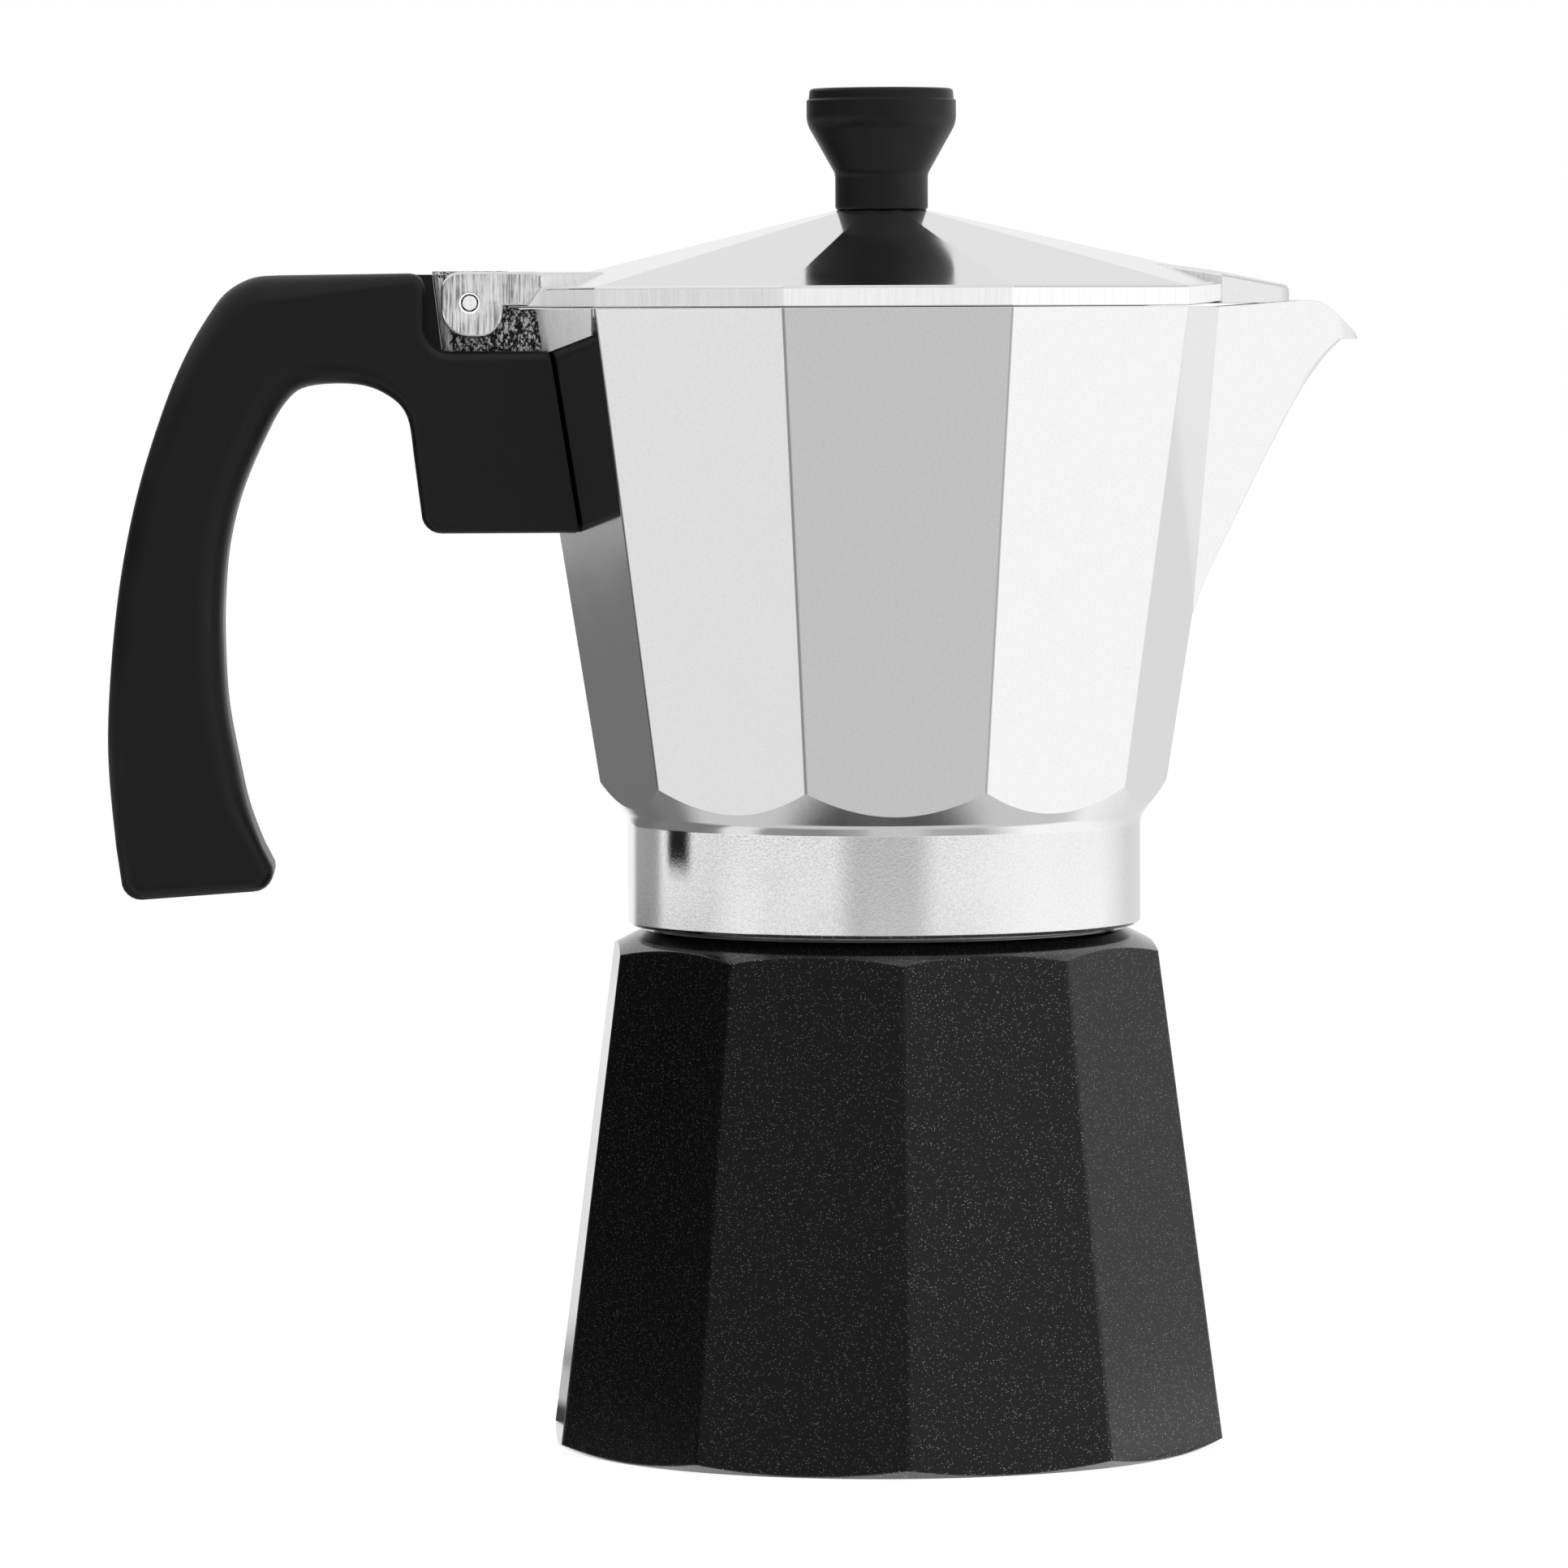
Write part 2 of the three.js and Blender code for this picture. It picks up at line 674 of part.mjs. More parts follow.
// Collector: ten flat faces over a turned cone and collar, with a socket below
function collectorShell() {
  const wide = collectorRimCorner + cutOverrun;
  const coneLine = [[collectorFootCorner, collectorFootHeight], [underconeRadius, underconeFoot]];
  const coneOut = along(wide, ...coneLine);
  const lean = Math.atan2(underconeWidth, underconeHeight);
  const filletOut = collarRadius + collarFillet * (1 - Math.cos(lean));
  const filletHeight = along(filletOut, ...coneLine);
  const bottom = filletHeight - collarFillet * Math.sin(lean);
  const fillet = circlePoints(
    collarRadius + collarFillet, bottom, collarFillet, Math.PI, Math.PI - lean, cornerSteps);
  const faces = faceted([
    [collectorCorner(bottom), bottom], [collectorRimCorner, collectorRimHeight],
  ], 0);
  const cone = turned([
    [0, bottom], ...fillet, [wide, coneOut], [wide, collectorRimHeight + cutOverrun],
    [0, collectorRimHeight + cutOverrun],
  ], largeSides);
  const collar = turned([
    [0, collarFoot], [collarRadius, collarFoot], ...fillet, [0, filletHeight],
  ], largeSides);
  return faces.intersect(cone).add(collar);
}

function chamberSolid() {
  const wall = collectorWall / Math.cos(Math.PI / faceCount);
  const top = collectorRimHeight + cutOverrun;
  const wide = collectorRimCorner + cutOverrun;
  const low = collectorCorner(chamberFloor) - wall;
  const faces = faceted([[low, chamberFloor], [collectorCorner(top) - wall, top]], 0);
  const corner = circlePoints(
    low - chamberCorner, chamberFloor + chamberCorner, chamberCorner, -Math.PI / 2, 0, cornerSteps);
  const bowl = turned([[0, chamberFloor], ...corner, [wide, top], [0, top]], largeSides);
  return faces.intersect(bowl);
}

function socketSolid() {
  const step = neckTop + threadGap;
  const below = collarFoot - cutOverrun;
  return turned([
    [0, below], [socketRadius, below], [socketRadius, step], [sealRecess, step],
    [sealRecess, sealCeiling], [domeRadius, sealCeiling],
    [columnSpigot + seatGap, sealCeiling + domeRise], [0, sealCeiling + domeRise],
  ], largeSides);
}

function collectorSolid() {
  const lug = sideExtruded(lugOutline(0), lugHalfWidth);
  const ridge = threadRidge(socketRadius, threadFoot + threadPitch / 2, 1);
  const hole = cylinder(columnSpigot + seatGap, sealCeiling, chamberFloor + cutOverrun, smallSides);
  const pinHole = crossCylinder(
    pinRadius + seatGap, lugHalfWidth + cutOverrun, -pinReach, pinHeight);
  const screwBore = handleScrewRadius + seatGap;
  const screwHole = cylinder(screwBore, lugFoot - cutOverrun, handleScrewTop + seatGap, smallSides)
    .translate([-screwReach, 0, 0]);
  return collectorShell().add(spoutOuter()).add(lug)
    .subtract(chamberSolid()).subtract(spoutChannel()).subtract(socketSolid())
    .subtract(hole).subtract(pinHole).subtract(screwHole).add(ridge);
}

// Column: the tapered riser that the coffee climbs, closed on top, with two side windows
function columnSolid() {
  const foot = chamberFloor + seatGap;
  const spigotFoot = sealCeiling + domeRise + seatGap;
  const boreTop = columnTop - columnRoof;
  const tube = turnedRing([
    [columnBore, spigotFoot], [columnSpigot, spigotFoot], [columnSpigot, foot],
    [columnFootRadius, foot], [columnFootRadius, foot + columnFootHeight],
    [columnTopRadius, boreTop], [columnBore, boreTop],
  ], smallSides);
  const roof = turned([
    [0, boreTop - seatGap], [columnTopRadius, boreTop - seatGap], [columnTopRadius, boreTop],
    [columnBore, columnTop], [0, columnTop],
  ], smallSides);
  const reach = columnFootRadius + cutOverrun;
  const top = boreTop - 2 * seatGap;
  const window = blockBetween(
    [-reach, -windowWidth / 2, top - windowHeight], [reach, windowWidth / 2, top]);
  return tube.add(roof).subtract(window);
}

// Lid: ten sloping faces on a rim band, with a beak over the spout and two hinge ears. The rim
// rises a little at the corner over the spout.
function lidSolid() {
  const slope = [[collectorRimCorner, lidRimTop], [lidApexRadius, lidApexHeight]];
  const outer = liftedFacets([
    [collectorRimCorner, lidFoot, lidLift], [collectorRimCorner, lidRimTop, lidLift],
    [lidApexRadius, lidApexHeight, 0],
  ]);
  const innerRim = collectorRimCorner - lidRimWidth;
  const innerTop = along(innerRim, ...slope) - lidSheet;
  const hollow = liftedFacets([
    [innerRim, lidFoot - cutOverrun, lidLift], [innerRim, innerTop, lidLift],
    [lidApexRadius, lidUnderApex, 0],
  ]);
  const beakPlan = [
    [beakReach, 0, beakCrown], [beakReach, beakTipHalfWidth - beakCorner, 0],
    [beakReach - beakCorner, beakTipHalfWidth, 0], [beakRoot, beakHalfWidth, 0],
    [beakBack, beakBackHalfWidth, 0], [beakBack, 0, beakCrown], [beakBack, -beakBackHalfWidth, 0],
    [beakRoot, -beakHalfWidth, 0], [beakReach - beakCorner, -beakTipHalfWidth, 0],
    [beakReach, beakCorner - beakTipHalfWidth, 0],
  ];
  const beakLine = [[beakBack, beakBackHeight], [beakReach, beakTipHeight]];
  const beak = loft([
    beakPlan.map(([x, y]) => new THREE.Vector3(x, y, lidFoot + lidLift)),
    beakPlan.map(([x, y, crown]) => new THREE.Vector3(x, y, along(x, ...beakLine) + crown)),
  ]);
  const arc = circlePoints(-pinReach, pinHeight, earRadius, Math.PI / 2, earEndAngle, earSteps);
  const ear = sideExtruded([
    [-bridgeInner, lidFoot], [-bridgeInner, earTop], [-pinReach, earTop], ...arc.slice(1),
    [-earRootReach, lidFoot],
  ], earHalfWidth);
  const outside = -lugOuterTop - cutOverrun;
  const above = earTop + cutOverrun;
  const below = lidFoot - earRadius - cutOverrun;
  const between = sideExtruded([
    [-collectorRimCorner, below], [-collectorRimCorner, above], [outside, above], [outside, below],
  ], earInner);
  const pinHole = crossCylinder(
    pinRadius + seatGap, earHalfWidth + cutOverrun, -pinReach, pinHeight);
  const knobHole = cylinder(
    knobScrewRadius + seatGap, lidFoot, lidApexHeight + cutOverrun, smallSides);
  const shell = outer.add(beak).add(ear.subtract(between));
  return shell.subtract(hollow).subtract(pinHole).subtract(knobHole);
}

// Knob: a flared grip on a straight neck, with a brass insert moulded in
function knobSolid() {
  const insertTop = knobFoot + seatGap + insertLength + seatGap;
  const parting = knobTop - knobCrownHeight;
  const flareFoot = knobFoot + knobNeckHeight;
  const flareHeight = parting - knobGripHeight - flareFoot;
  const flare = flareHeightShares.map((share, i) => [
    knobNeckRadius + (knobRadius - knobNeckRadius) * flareRadiusShares[i],
    flareFoot + flareHeight * share,
  ]);
  const bore = insertRadius + seatGap;
  const crown = knobRadius - knobCrownStep;
  return turned([
    [0, insertTop], [bore, insertTop], [bore, knobFoot], [knobNeckRadius - knobCorner, knobFoot],
    [knobNeckRadius, knobFoot + knobCorner], ...flare, [knobRadius, parting],
    [crown, knobTop - knobCorner], [crown - knobCorner, knobTop], [0, knobTop],
  ], mediumSides);
}

function insertSolid() {
  const foot = knobFoot + seatGap;
  return turnedRing([
    [knobScrewRadius + seatGap, foot], [insertRadius, foot], [insertRadius, foot + insertLength],
    [knobScrewRadius + seatGap, foot + insertLength],
  ], smallSides);
}

function washerSolid(inner, outer, foot, thickness) {
  const top = foot + thickness;
  return turnedRing([[inner, foot], [outer, foot], [outer, top], [inner, top]], smallSides);
}

// A pan head screw whose shank points up
function screwSolid(shank, head, headFoot, headHeight, top) {
  const headTop = headFoot + headHeight;
  const solid = turned([
    [0, headFoot], [head * headFaceShare, headFoot], [head, headFoot + headHeight / 2],
    [head, headTop], [shank, headTop], [shank, top], [0, top],
  ], smallSides);
  const slotHalf = (headHeight * slotWidthShare) / 2;
  const slot = blockBetween(
    [-head - cutOverrun, -slotHalf, headFoot - cutOverrun],
    [head + cutOverrun, slotHalf, headFoot + headHeight / 2]);
  return solid.subtract(slot);
}

// Handle: a hook with a slot for the lug, a block that fits the back corner, and a screw hole
const blockBack = collectorCorner(blockBottom) - handleThickness / 2;

function handleSolid() {
  const place = ([out, up]) => new THREE.Vector2(
    -blockReach - (handleReach - blockReach) * out, handleTop - handleHeight * (1 - up));
  const outer = new THREE.SplineCurve(gripOuterShares.map(place)).getPoints(gripSteps);
  const inner = new THREE.SplineCurve(gripInnerShares.map(place)).getPoints(gripSteps);
  const tipAt = (share) => place([share, 0]).x;
  const tip = circlePoints(
    tipAt(tipOuterShare) + tipCorner, handleTip + tipCorner, tipCorner, -Math.PI, -Math.PI / 2,
    cornerSteps);
  const heel = circlePoints(
    tipAt(tipInnerShare) - tipCorner, handleTip + tipRise + tipCorner, tipCorner, -Math.PI / 2,
    heelEndAngle, cornerSteps);
  const corner = circlePoints(
    blockCorner - blockReach, blockBottom + blockCorner, blockCorner, -Math.PI, -Math.PI / 2,
    cornerSteps);
  const notch = circlePoints(
    notchCorner - notchReach, notchFloor + notchCorner, notchCorner, -Math.PI / 2, -Math.PI,
    cornerSteps);
  const outline = [
    [-notchReach, handleTop], ...outer.map((p) => [p.x, p.y]), ...tip, ...heel,
    ...inner.map((p) => [p.x, p.y]), ...corner,
    [-blockBack, blockBottom], [-blockBack, notchFloor], ...notch,
  ];
  const bevel = {
    bevelEnabled: true,
    bevelThickness: handleBevel,
    bevelSize: handleBevel,
    bevelOffset: -handleBevel,
    bevelSegments: bevelSteps,
  };
  const body = sideExtruded(outline, handleThickness / 2, bevel);
  const stop = sideExtruded([
    [-blockReach - notchCorner, notchFloor - notchCorner], [-pinReach, notchFloor - notchCorner],
    [-pinReach, handleTop - handleGap], [-blockReach - notchCorner, handleTop - handleGap],
  ], lugHalfWidth - handleGap);
  const below = blockBottom - cutOverrun;
  const fit = handleGap / Math.cos(Math.PI / faceCount);
  const pot = faceted([
    [collectorCorner(below) + fit, below], [collectorCorner(handleTop) + fit, handleTop],
  ], 0);
  const pocket = sideExtruded(lugOutline(handleGap), lugHalfWidth + handleGap);
  const screwHole = cylinder(handleScrewRadius + seatGap, below, lugFoot + cutOverrun, smallSides);
  const headHole = cylinder(handleWasherRadius + seatGap, below, handleHeadSeat, smallSides);
  const drill = screwHole.add(headHole).translate([-screwReach, 0, 0]);
  return body.add(stop).subtract(pot).subtract(pocket).subtract(drill);
}

// Safety valve, drawn along its own axis with zero on the boiler's face and plus pointing out
const valveHexFoot = 2 * seatGap + washerThickness;
const valveHexTop = valveHexFoot + valveHexHeight;
const valveTop = valveHexTop + valveBossHeight;
const valveShankFoot = valveHexFoot - valveShankLength;
const valveSeat = valveShankFoot + valveSeatThickness;

function valveBodySolid() {
  const hex = cylinder(valveHexRadius, valveHexFoot, valveHexTop, hexSides);
  const shank = cylinder(valveShankRadius, valveShankFoot, valveHexFoot + seatGap, smallSides);
  const boss = cylinder(valveBossRadius, valveHexTop - seatGap, valveTop, smallSides);
  const bore = cylinder(valveBoreRadius, valveSeat, valveTop + cutOverrun, smallSides);
  const seat = cylinder(valveSeatRadius, valveShankFoot - cutOverrun, valveSeat + seatGap, smallSides);
  return hex.add(shank).add(boss).subtract(bore).subtract(seat);
}

function valveNutSolid() {
  const top = -boilerWall - seatGap;
  const foot = top - valveNutHeight;
  const nut = cylinder(valveHexRadius, foot, top, hexSides);
  const hole = cylinder(
    valveShankRadius + seatGap, foot - cutOverrun, top + cutOverrun, smallSides);
  return nut.subtract(hole);
}

function valvePlungerSolid() {
  const head = valveSeat + seatGap;
  return turned([
    [0, head], [valveSeatRadius, head], [plungerHeadRadius, head + plungerHeadHeight / 2],
    [plungerHeadRadius, head + plungerHeadHeight], [plungerStemRadius, head + plungerHeadHeight],
    [plungerStemRadius, valveTop + plungerTip], [0, valveTop + plungerTip],
  ], smallSides);
}

function valveSpringSolid() {
  const low = valveSeat + plungerHeadHeight + 2 * seatGap + springWire;
  const high = valveTop - valveCapHeight - 2 * seatGap - springWire;
  const steps = springTurns * springSteps;
  const rings = [];
  for (let i = 0; i <= steps; i += 1) {
    const angle = (2 * Math.PI * i) / springSteps;
    const height = low + ((high - low) * i) / steps;
    const section = circlePoints(springRadius, height, springWire / 2, 0, 2 * Math.PI, springSides);
    rings.push(section.slice(1).map(([radius, z]) => new THREE.Vector3(
      radius * Math.cos(angle), radius * Math.sin(angle), z)));
  }
  return loft(rings);
}

// The valve's group stands on its face of the boiler, square to that face
function valveGroup() {
  const group = new THREE.Group();
  const azimuth = boilerTurn + (2 * Math.PI * valveFace) / faceCount;
  const flat = Math.cos(Math.PI / faceCount);
  const lean = Math.atan2(boilerFlare * flat, boilerSideHeight);
  const radius = boilerCorner(valveHeight) * flat;
  const outward = new THREE.Vector3(
    Math.cos(azimuth) * Math.cos(lean), Math.sin(azimuth) * Math.cos(lean), Math.sin(lean));
  group.position.set(radius * Math.cos(azimuth), radius * Math.sin(azimuth), valveHeight);
  group.quaternion.setFromUnitVectors(new THREE.Vector3(0, 0, 1), outward);
  group.updateMatrixWorld();
  return group;
}

const pot = new THREE.Group();
const valve = valveGroup();
const shankBore = valveShankRadius + seatGap;
const valveHole = cylinder(shankBore, valveShankFoot - cutOverrun, cutOverrun, smallSides)
  .transform(valve.matrixWorld.toArray());
const valveWasher = washerSolid(shankBore, valveHexRadius - seatGap, seatGap, washerThickness);
const valveCap = washerSolid(
  plungerStemRadius + plungerGap, valveBoreRadius - seatGap, valveTop - valveCapHeight - seatGap,
  valveCapHeight);
pot.add(piece('boiler', boilerSolid().subtract(valveHole), 'coated'));
valve.add(piece('valve_washer', valveWasher, 'rubber'));
valve.add(piece('valve_body', valveBodySolid(), 'brass'));
valve.add(piece('valve_nut', valveNutSolid(), 'brass'));
valve.add(piece('valve_plunger', valvePlungerSolid(), 'steel'));
valve.add(piece('valve_spring', valveSpringSolid(), 'steel'));
valve.add(piece('valve_cap', valveCap, 'brass'));
pot.add(valve);

pot.add(piece('funnel', funnelSolid(), 'sheet'));
pot.add(piece('funnel_screen', screenSolid(), 'sheet'));
pot.add(piece('gasket', gasketSolid(), 'rubber'));
pot.add(piece('filter_plate', perforatedPlate(filterRadius, filterFoot, filterMargin), 'sheet'));

pot.add(piece('collector', collectorSolid(), 'polished'));
pot.add(piece('column', columnSolid(), 'polished'));
const pin = crossCylinder(pinRadius, earHalfWidth, -pinReach, pinHeight);
pot.add(piece('hinge_pin', pin, 'steel'));

const handleWasherFoot = handleHeadSeat - seatGap - washerThickness;
const handleHeadFoot = handleWasherFoot - seatGap - handleHeadHeight;
const handleScrew = screwSolid(
  handleScrewRadius, handleHeadRadius, handleHeadFoot, handleHeadHeight, handleScrewTop);
const handleWasher = washerSolid(
  handleScrewRadius + seatGap, handleWasherRadius, handleWasherFoot, washerThickness);
pot.add(piece('handle', handleSolid(), 'plastic'));
pot.add(piece('handle_screw', handleScrew.translate([-screwReach, 0, 0]), 'steel'));
pot.add(piece('handle_washer', handleWasher.translate([-screwReach, 0, 0]), 'steel'));

const knobWasherFoot = lidUnderApex - seatGap - washerThickness;
const knobHeadFoot = knobWasherFoot - seatGap - knobHeadHeight;
const knobScrewTop = knobFoot + seatGap + insertLength - knobScrewDrop;
const knobWasher = washerSolid(
  knobScrewRadius + seatGap, knobWasherRadius, knobWasherFoot, washerThickness);
const knobScrew = screwSolid(
  knobScrewRadius, knobHeadRadius, knobHeadFoot, knobHeadHeight, knobScrewTop);
pot.add(piece('lid', lidSolid(), 'polished'));
pot.add(piece('knob', knobSolid(), 'plastic'));
pot.add(piece('knob_insert', insertSolid(), 'brass'));
pot.add(piece('knob_washer', knobWasher, 'steel'));
pot.add(piece('knob_screw', knobScrew, 'steel'));

export default pot;
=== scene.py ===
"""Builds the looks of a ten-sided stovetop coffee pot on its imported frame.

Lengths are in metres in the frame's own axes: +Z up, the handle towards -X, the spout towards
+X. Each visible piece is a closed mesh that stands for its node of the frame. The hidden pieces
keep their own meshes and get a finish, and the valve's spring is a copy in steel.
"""

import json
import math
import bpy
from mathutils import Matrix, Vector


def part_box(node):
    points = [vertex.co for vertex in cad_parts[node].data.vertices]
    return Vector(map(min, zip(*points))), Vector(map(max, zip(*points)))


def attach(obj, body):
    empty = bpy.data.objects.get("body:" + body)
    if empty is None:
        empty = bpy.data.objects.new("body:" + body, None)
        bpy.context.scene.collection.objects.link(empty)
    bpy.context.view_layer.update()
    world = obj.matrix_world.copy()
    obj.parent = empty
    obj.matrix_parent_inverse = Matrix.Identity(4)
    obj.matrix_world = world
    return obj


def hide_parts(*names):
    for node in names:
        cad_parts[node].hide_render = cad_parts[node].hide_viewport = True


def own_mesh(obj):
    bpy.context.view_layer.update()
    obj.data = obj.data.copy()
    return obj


bl_info = {
    "name": "Moka pot",
    "version": (1, 0, 0),
    "blender": (4, 5, 0),
    "location": "View3D > Sidebar > Moka pot",
    "description": "Builds a ten-sided stovetop coffee pot, its finishes and a plain studio",
    "category": "Add Mesh",
}

import bmesh
import bpy
from bpy.props import FloatProperty, FloatVectorProperty, IntProperty, PointerProperty
from mathutils import Matrix, Vector

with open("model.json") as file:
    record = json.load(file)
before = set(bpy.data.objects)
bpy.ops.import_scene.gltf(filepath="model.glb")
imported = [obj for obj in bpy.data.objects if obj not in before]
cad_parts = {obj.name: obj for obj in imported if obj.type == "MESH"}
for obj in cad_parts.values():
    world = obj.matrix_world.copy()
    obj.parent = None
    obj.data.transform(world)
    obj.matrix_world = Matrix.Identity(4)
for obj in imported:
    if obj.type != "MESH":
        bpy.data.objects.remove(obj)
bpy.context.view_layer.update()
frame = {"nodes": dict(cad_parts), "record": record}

MM = 0.001
FACES = 10
HALF_FACE = math.pi / FACES
# How far a face stands off the axis, as a share of how far its corners do.
FLAT = math.cos(HALF_FACE)
ROUND_STEPS = 5
TURNED_STEPS = 180
SMALL_STEPS = 48
VALVE_STEPS = 96
OVERRUN = 4 * MM
WELD_WITHIN = MM / 10000
FLAT_WITHIN = MM / 1000
CLEAN_WITHIN = MM / 2000
RIM_EDGE = 0.5 * MM
INNER_ROUNDING = 3 * MM
PIN_LOW, PIN_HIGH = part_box("hinge_pin")
PIN_X = (PIN_LOW.x + PIN_HIGH.x) / 2
PIN_Z = (PIN_LOW.z + PIN_HIGH.z) / 2
RIM_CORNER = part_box("collector")[1].y / FLAT
RIM_HEIGHT = PIN_Z - MM
NECK_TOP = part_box("boiler")[1].z
KNOB_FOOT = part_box("knob")[0].z
KNOB_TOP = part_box("knob")[1].z
LIP_HEIGHT = RIM_HEIGHT - 5.3 * MM
LID_SEAM = RIM_HEIGHT + 0.45 * MM
LUG_REACH = RIM_CORNER + 14.3 * MM
PIN_HOLE = 1.7 * MM
SCREW_HOLE = 2.3 * MM
SCREW_X = -62 * MM


# ---- Sizes and colours ----


def length(name, description, default):
    """A size in metres that the sidebar shows as a length."""
    return FloatProperty(
        name=name, description=description, default=default, min=0.0, precision=5,
        subtype="DISTANCE", unit="LENGTH",
    )


def rotation(name, description, degrees):
    """An angle that is given in degrees."""
    return FloatProperty(
        name=name, description=description, default=math.radians(degrees), subtype="ANGLE",
        unit="ROTATION",
    )


def share(name, description, default):
    """A number from 0 to 1."""
    return FloatProperty(
        name=name, description=description, default=default, min=0.0, max=1.0, subtype="FACTOR"
    )


def colour(name, description, default):
    """A colour in linear light."""
    return FloatVectorProperty(
        name=name, description=description, default=default, size=3, min=0.0, max=1.0,
        subtype="COLOR",
    )


class BoilerSizes(bpy.types.PropertyGroup):
    foot_corner: length("Foot corner", "Radius of the corners at the foot", 55.2 * MM)
    top_corner: length("Top corner", "Radius of the corners under the shoulder", 44.75 * MM)
    side_height: length("Side height", "Height of the flat faces", 78.6 * MM)
    foot_radius: length("Foot radius", "Radius of the flat underside", 52 * MM)
    foot_rise: length("Foot rise", "Height of the chamfer round the foot", 1.7 * MM)
    shoulder_radius: length("Shoulder radius", "Radius of the shoulder's upper edge", 38.3 * MM)
    shoulder_top: length("Shoulder top", "Height of the shoulder's upper edge", 81.9 * MM)
    neck_radius: length("Neck radius", "Radius of the threaded neck", 35.2 * MM)
    neck_bore: length("Neck bore", "Radius of the boiler's mouth", 30.8 * MM)
    wall: length("Wall", "Thickness of the walls", 2.8 * MM)
    floor: length("Floor", "Thickness of the floor", 3.5 * MM)
    roof: length("Roof", "Thickness under the shoulder", 3.2 * MM)
    rounding: length("Corner rounding", "Rounding of the upright corners", 1.5 * MM)
    turn: rotation("Turn", "How far the boiler's faces stand off the collector's", 0.95)
    coat: colour("Coat", "Colour of the powder coat", (0.0042, 0.0042, 0.0044))
    sparkle: colour("Sparkle", "Colour of the fine flecks in the coat", (0.8, 0.8, 0.81))


class CollectorSizes(bpy.types.PropertyGroup):
    foot_corner: length("Foot corner", "Radius of the corners above the cone", 45.2 * MM)
    foot_height: length("Foot height", "Height of those corners", 105.3 * MM)
    cone_radius: length("Cone radius", "Lower radius of the cone", 42.5 * MM)
    cone_height: length("Cone height", "Height of the cone's lower edge", 101.7 * MM)
    collar_radius: length("Collar radius", "Radius of the round collar", 40.8 * MM)
    collar_foot: length("Collar foot", "Height of the collar's lower edge", 82.6 * MM)
    fillet: length("Fillet", "Rounding between collar and cone", 3 * MM)
    wall: length("Wall", "Thickness of the walls", 2.8 * MM)
    chamber_floor: length("Chamber floor", "Height of the coffee chamber's floor", 104.2 * MM)
    socket_radius: length("Socket radius", "Radius of the threaded socket", 36.7 * MM)
    rounding: length("Corner rounding", "Rounding of the upright corners", 1.1 * MM)
    spout_height: length("Spout height", "Height of the spout below the rim", 49.3 * MM)
    spout_half_width: length("Spout half width", "Half width of the spout at the rim", 14 * MM)
    spout_reach: length("Spout reach", "Reach of the pouring lip from the axis", 75.7 * MM)
    metal: colour("Aluminium", "Colour of the polished aluminium", (0.86, 0.86, 0.865))


class LidSizes(bpy.types.PropertyGroup):
    rim_height: length("Rim height", "Height of the band round the lid", 2.85 * MM)
    rise: length("Rise", "Height of the lid above its rim band", 12.2 * MM)
    sheet: length("Sheet", "Thickness of the lid", 2.4 * MM)
    apex_radius: length("Seat radius", "Radius of the flat seat under the knob", 7.1 * MM)
    lift: length("Lift", "Rise of the rim over the spout", 0.9 * MM)
    rounding: length("Ridge rounding", "Rounding of the ridges", 1 * MM)
    edge: length("Edge", "Rounding of the rim band's upper edge", 0.35 * MM)


class KnobSizes(bpy.types.PropertyGroup):
    radius: length("Radius", "Largest radius of the knob", 11.85 * MM)
    neck_radius: length("Neck radius", "Radius of the knob's neck", 7.35 * MM)
    neck_height: length("Neck height", "Height of the neck", 5 * MM)
    crown_height: length("Crown height", "Height of the part above the parting line", 1.8 * MM)
    plastic: colour("Plastic", "Colour of the black moulding", (0.0042, 0.0042, 0.0045))


class HandleSizes(bpy.types.PropertyGroup):
    half_width: length("Half width", "Half the thickness of the handle", 10.8 * MM)
    softness: length("Softness", "Radius of the long soft edges", 4.6 * MM)
    height: length("Height", "Height of the handle from tip to top", 98.6 * MM)


class ValveSizes(bpy.types.PropertyGroup):
    height: length("Height", "Height of the valve on the boiler", 58 * MM)
    hex_radius: length("Hexagon radius", "Radius over the hexagon's corners", 7.5 * MM)
    face: IntProperty(name="Face", description="The boiler's face that holds the valve", default=2)


class StageSizes(bpy.types.PropertyGroup):
    distance: length("Camera distance", "From the camera to the point it looks at", 1466.2 * MM)
    swing: rotation("Swing", "Angle of the camera round the pot", -1.995)
    tilt: rotation("Tilt", "How far the camera looks down", 2.893)
    roll: rotation("Roll", "How far the camera leans", -0.237)
    aim_side: FloatProperty(
        name="Aim to the side", description="Where the camera looks, along its own right",
        default=-15.859 * MM, subtype="DISTANCE", unit="LENGTH",
    )
    aim_height: length("Aim height", "Height of the point that the camera looks at", 104.68 * MM)
    lens: FloatProperty(
        name="Lens", description="Focal length on a 36 mm sensor", default=211.56, unit="CAMERA"
    )
    paper: colour("Paper", "Colour of the floor", (0.8, 0.8, 0.8))
    daylight: share("Daylight", "Strength of the even light from all sides", 0.62)


# ---- Shapes ----


def add_object(name, mesh, finish):
    """An object of a mesh with one finish, linked to the scene."""
    mesh.materials.append(finish)
    made = bpy.data.objects.new(name, mesh)
    bpy.context.scene.collection.objects.link(made)
    return made


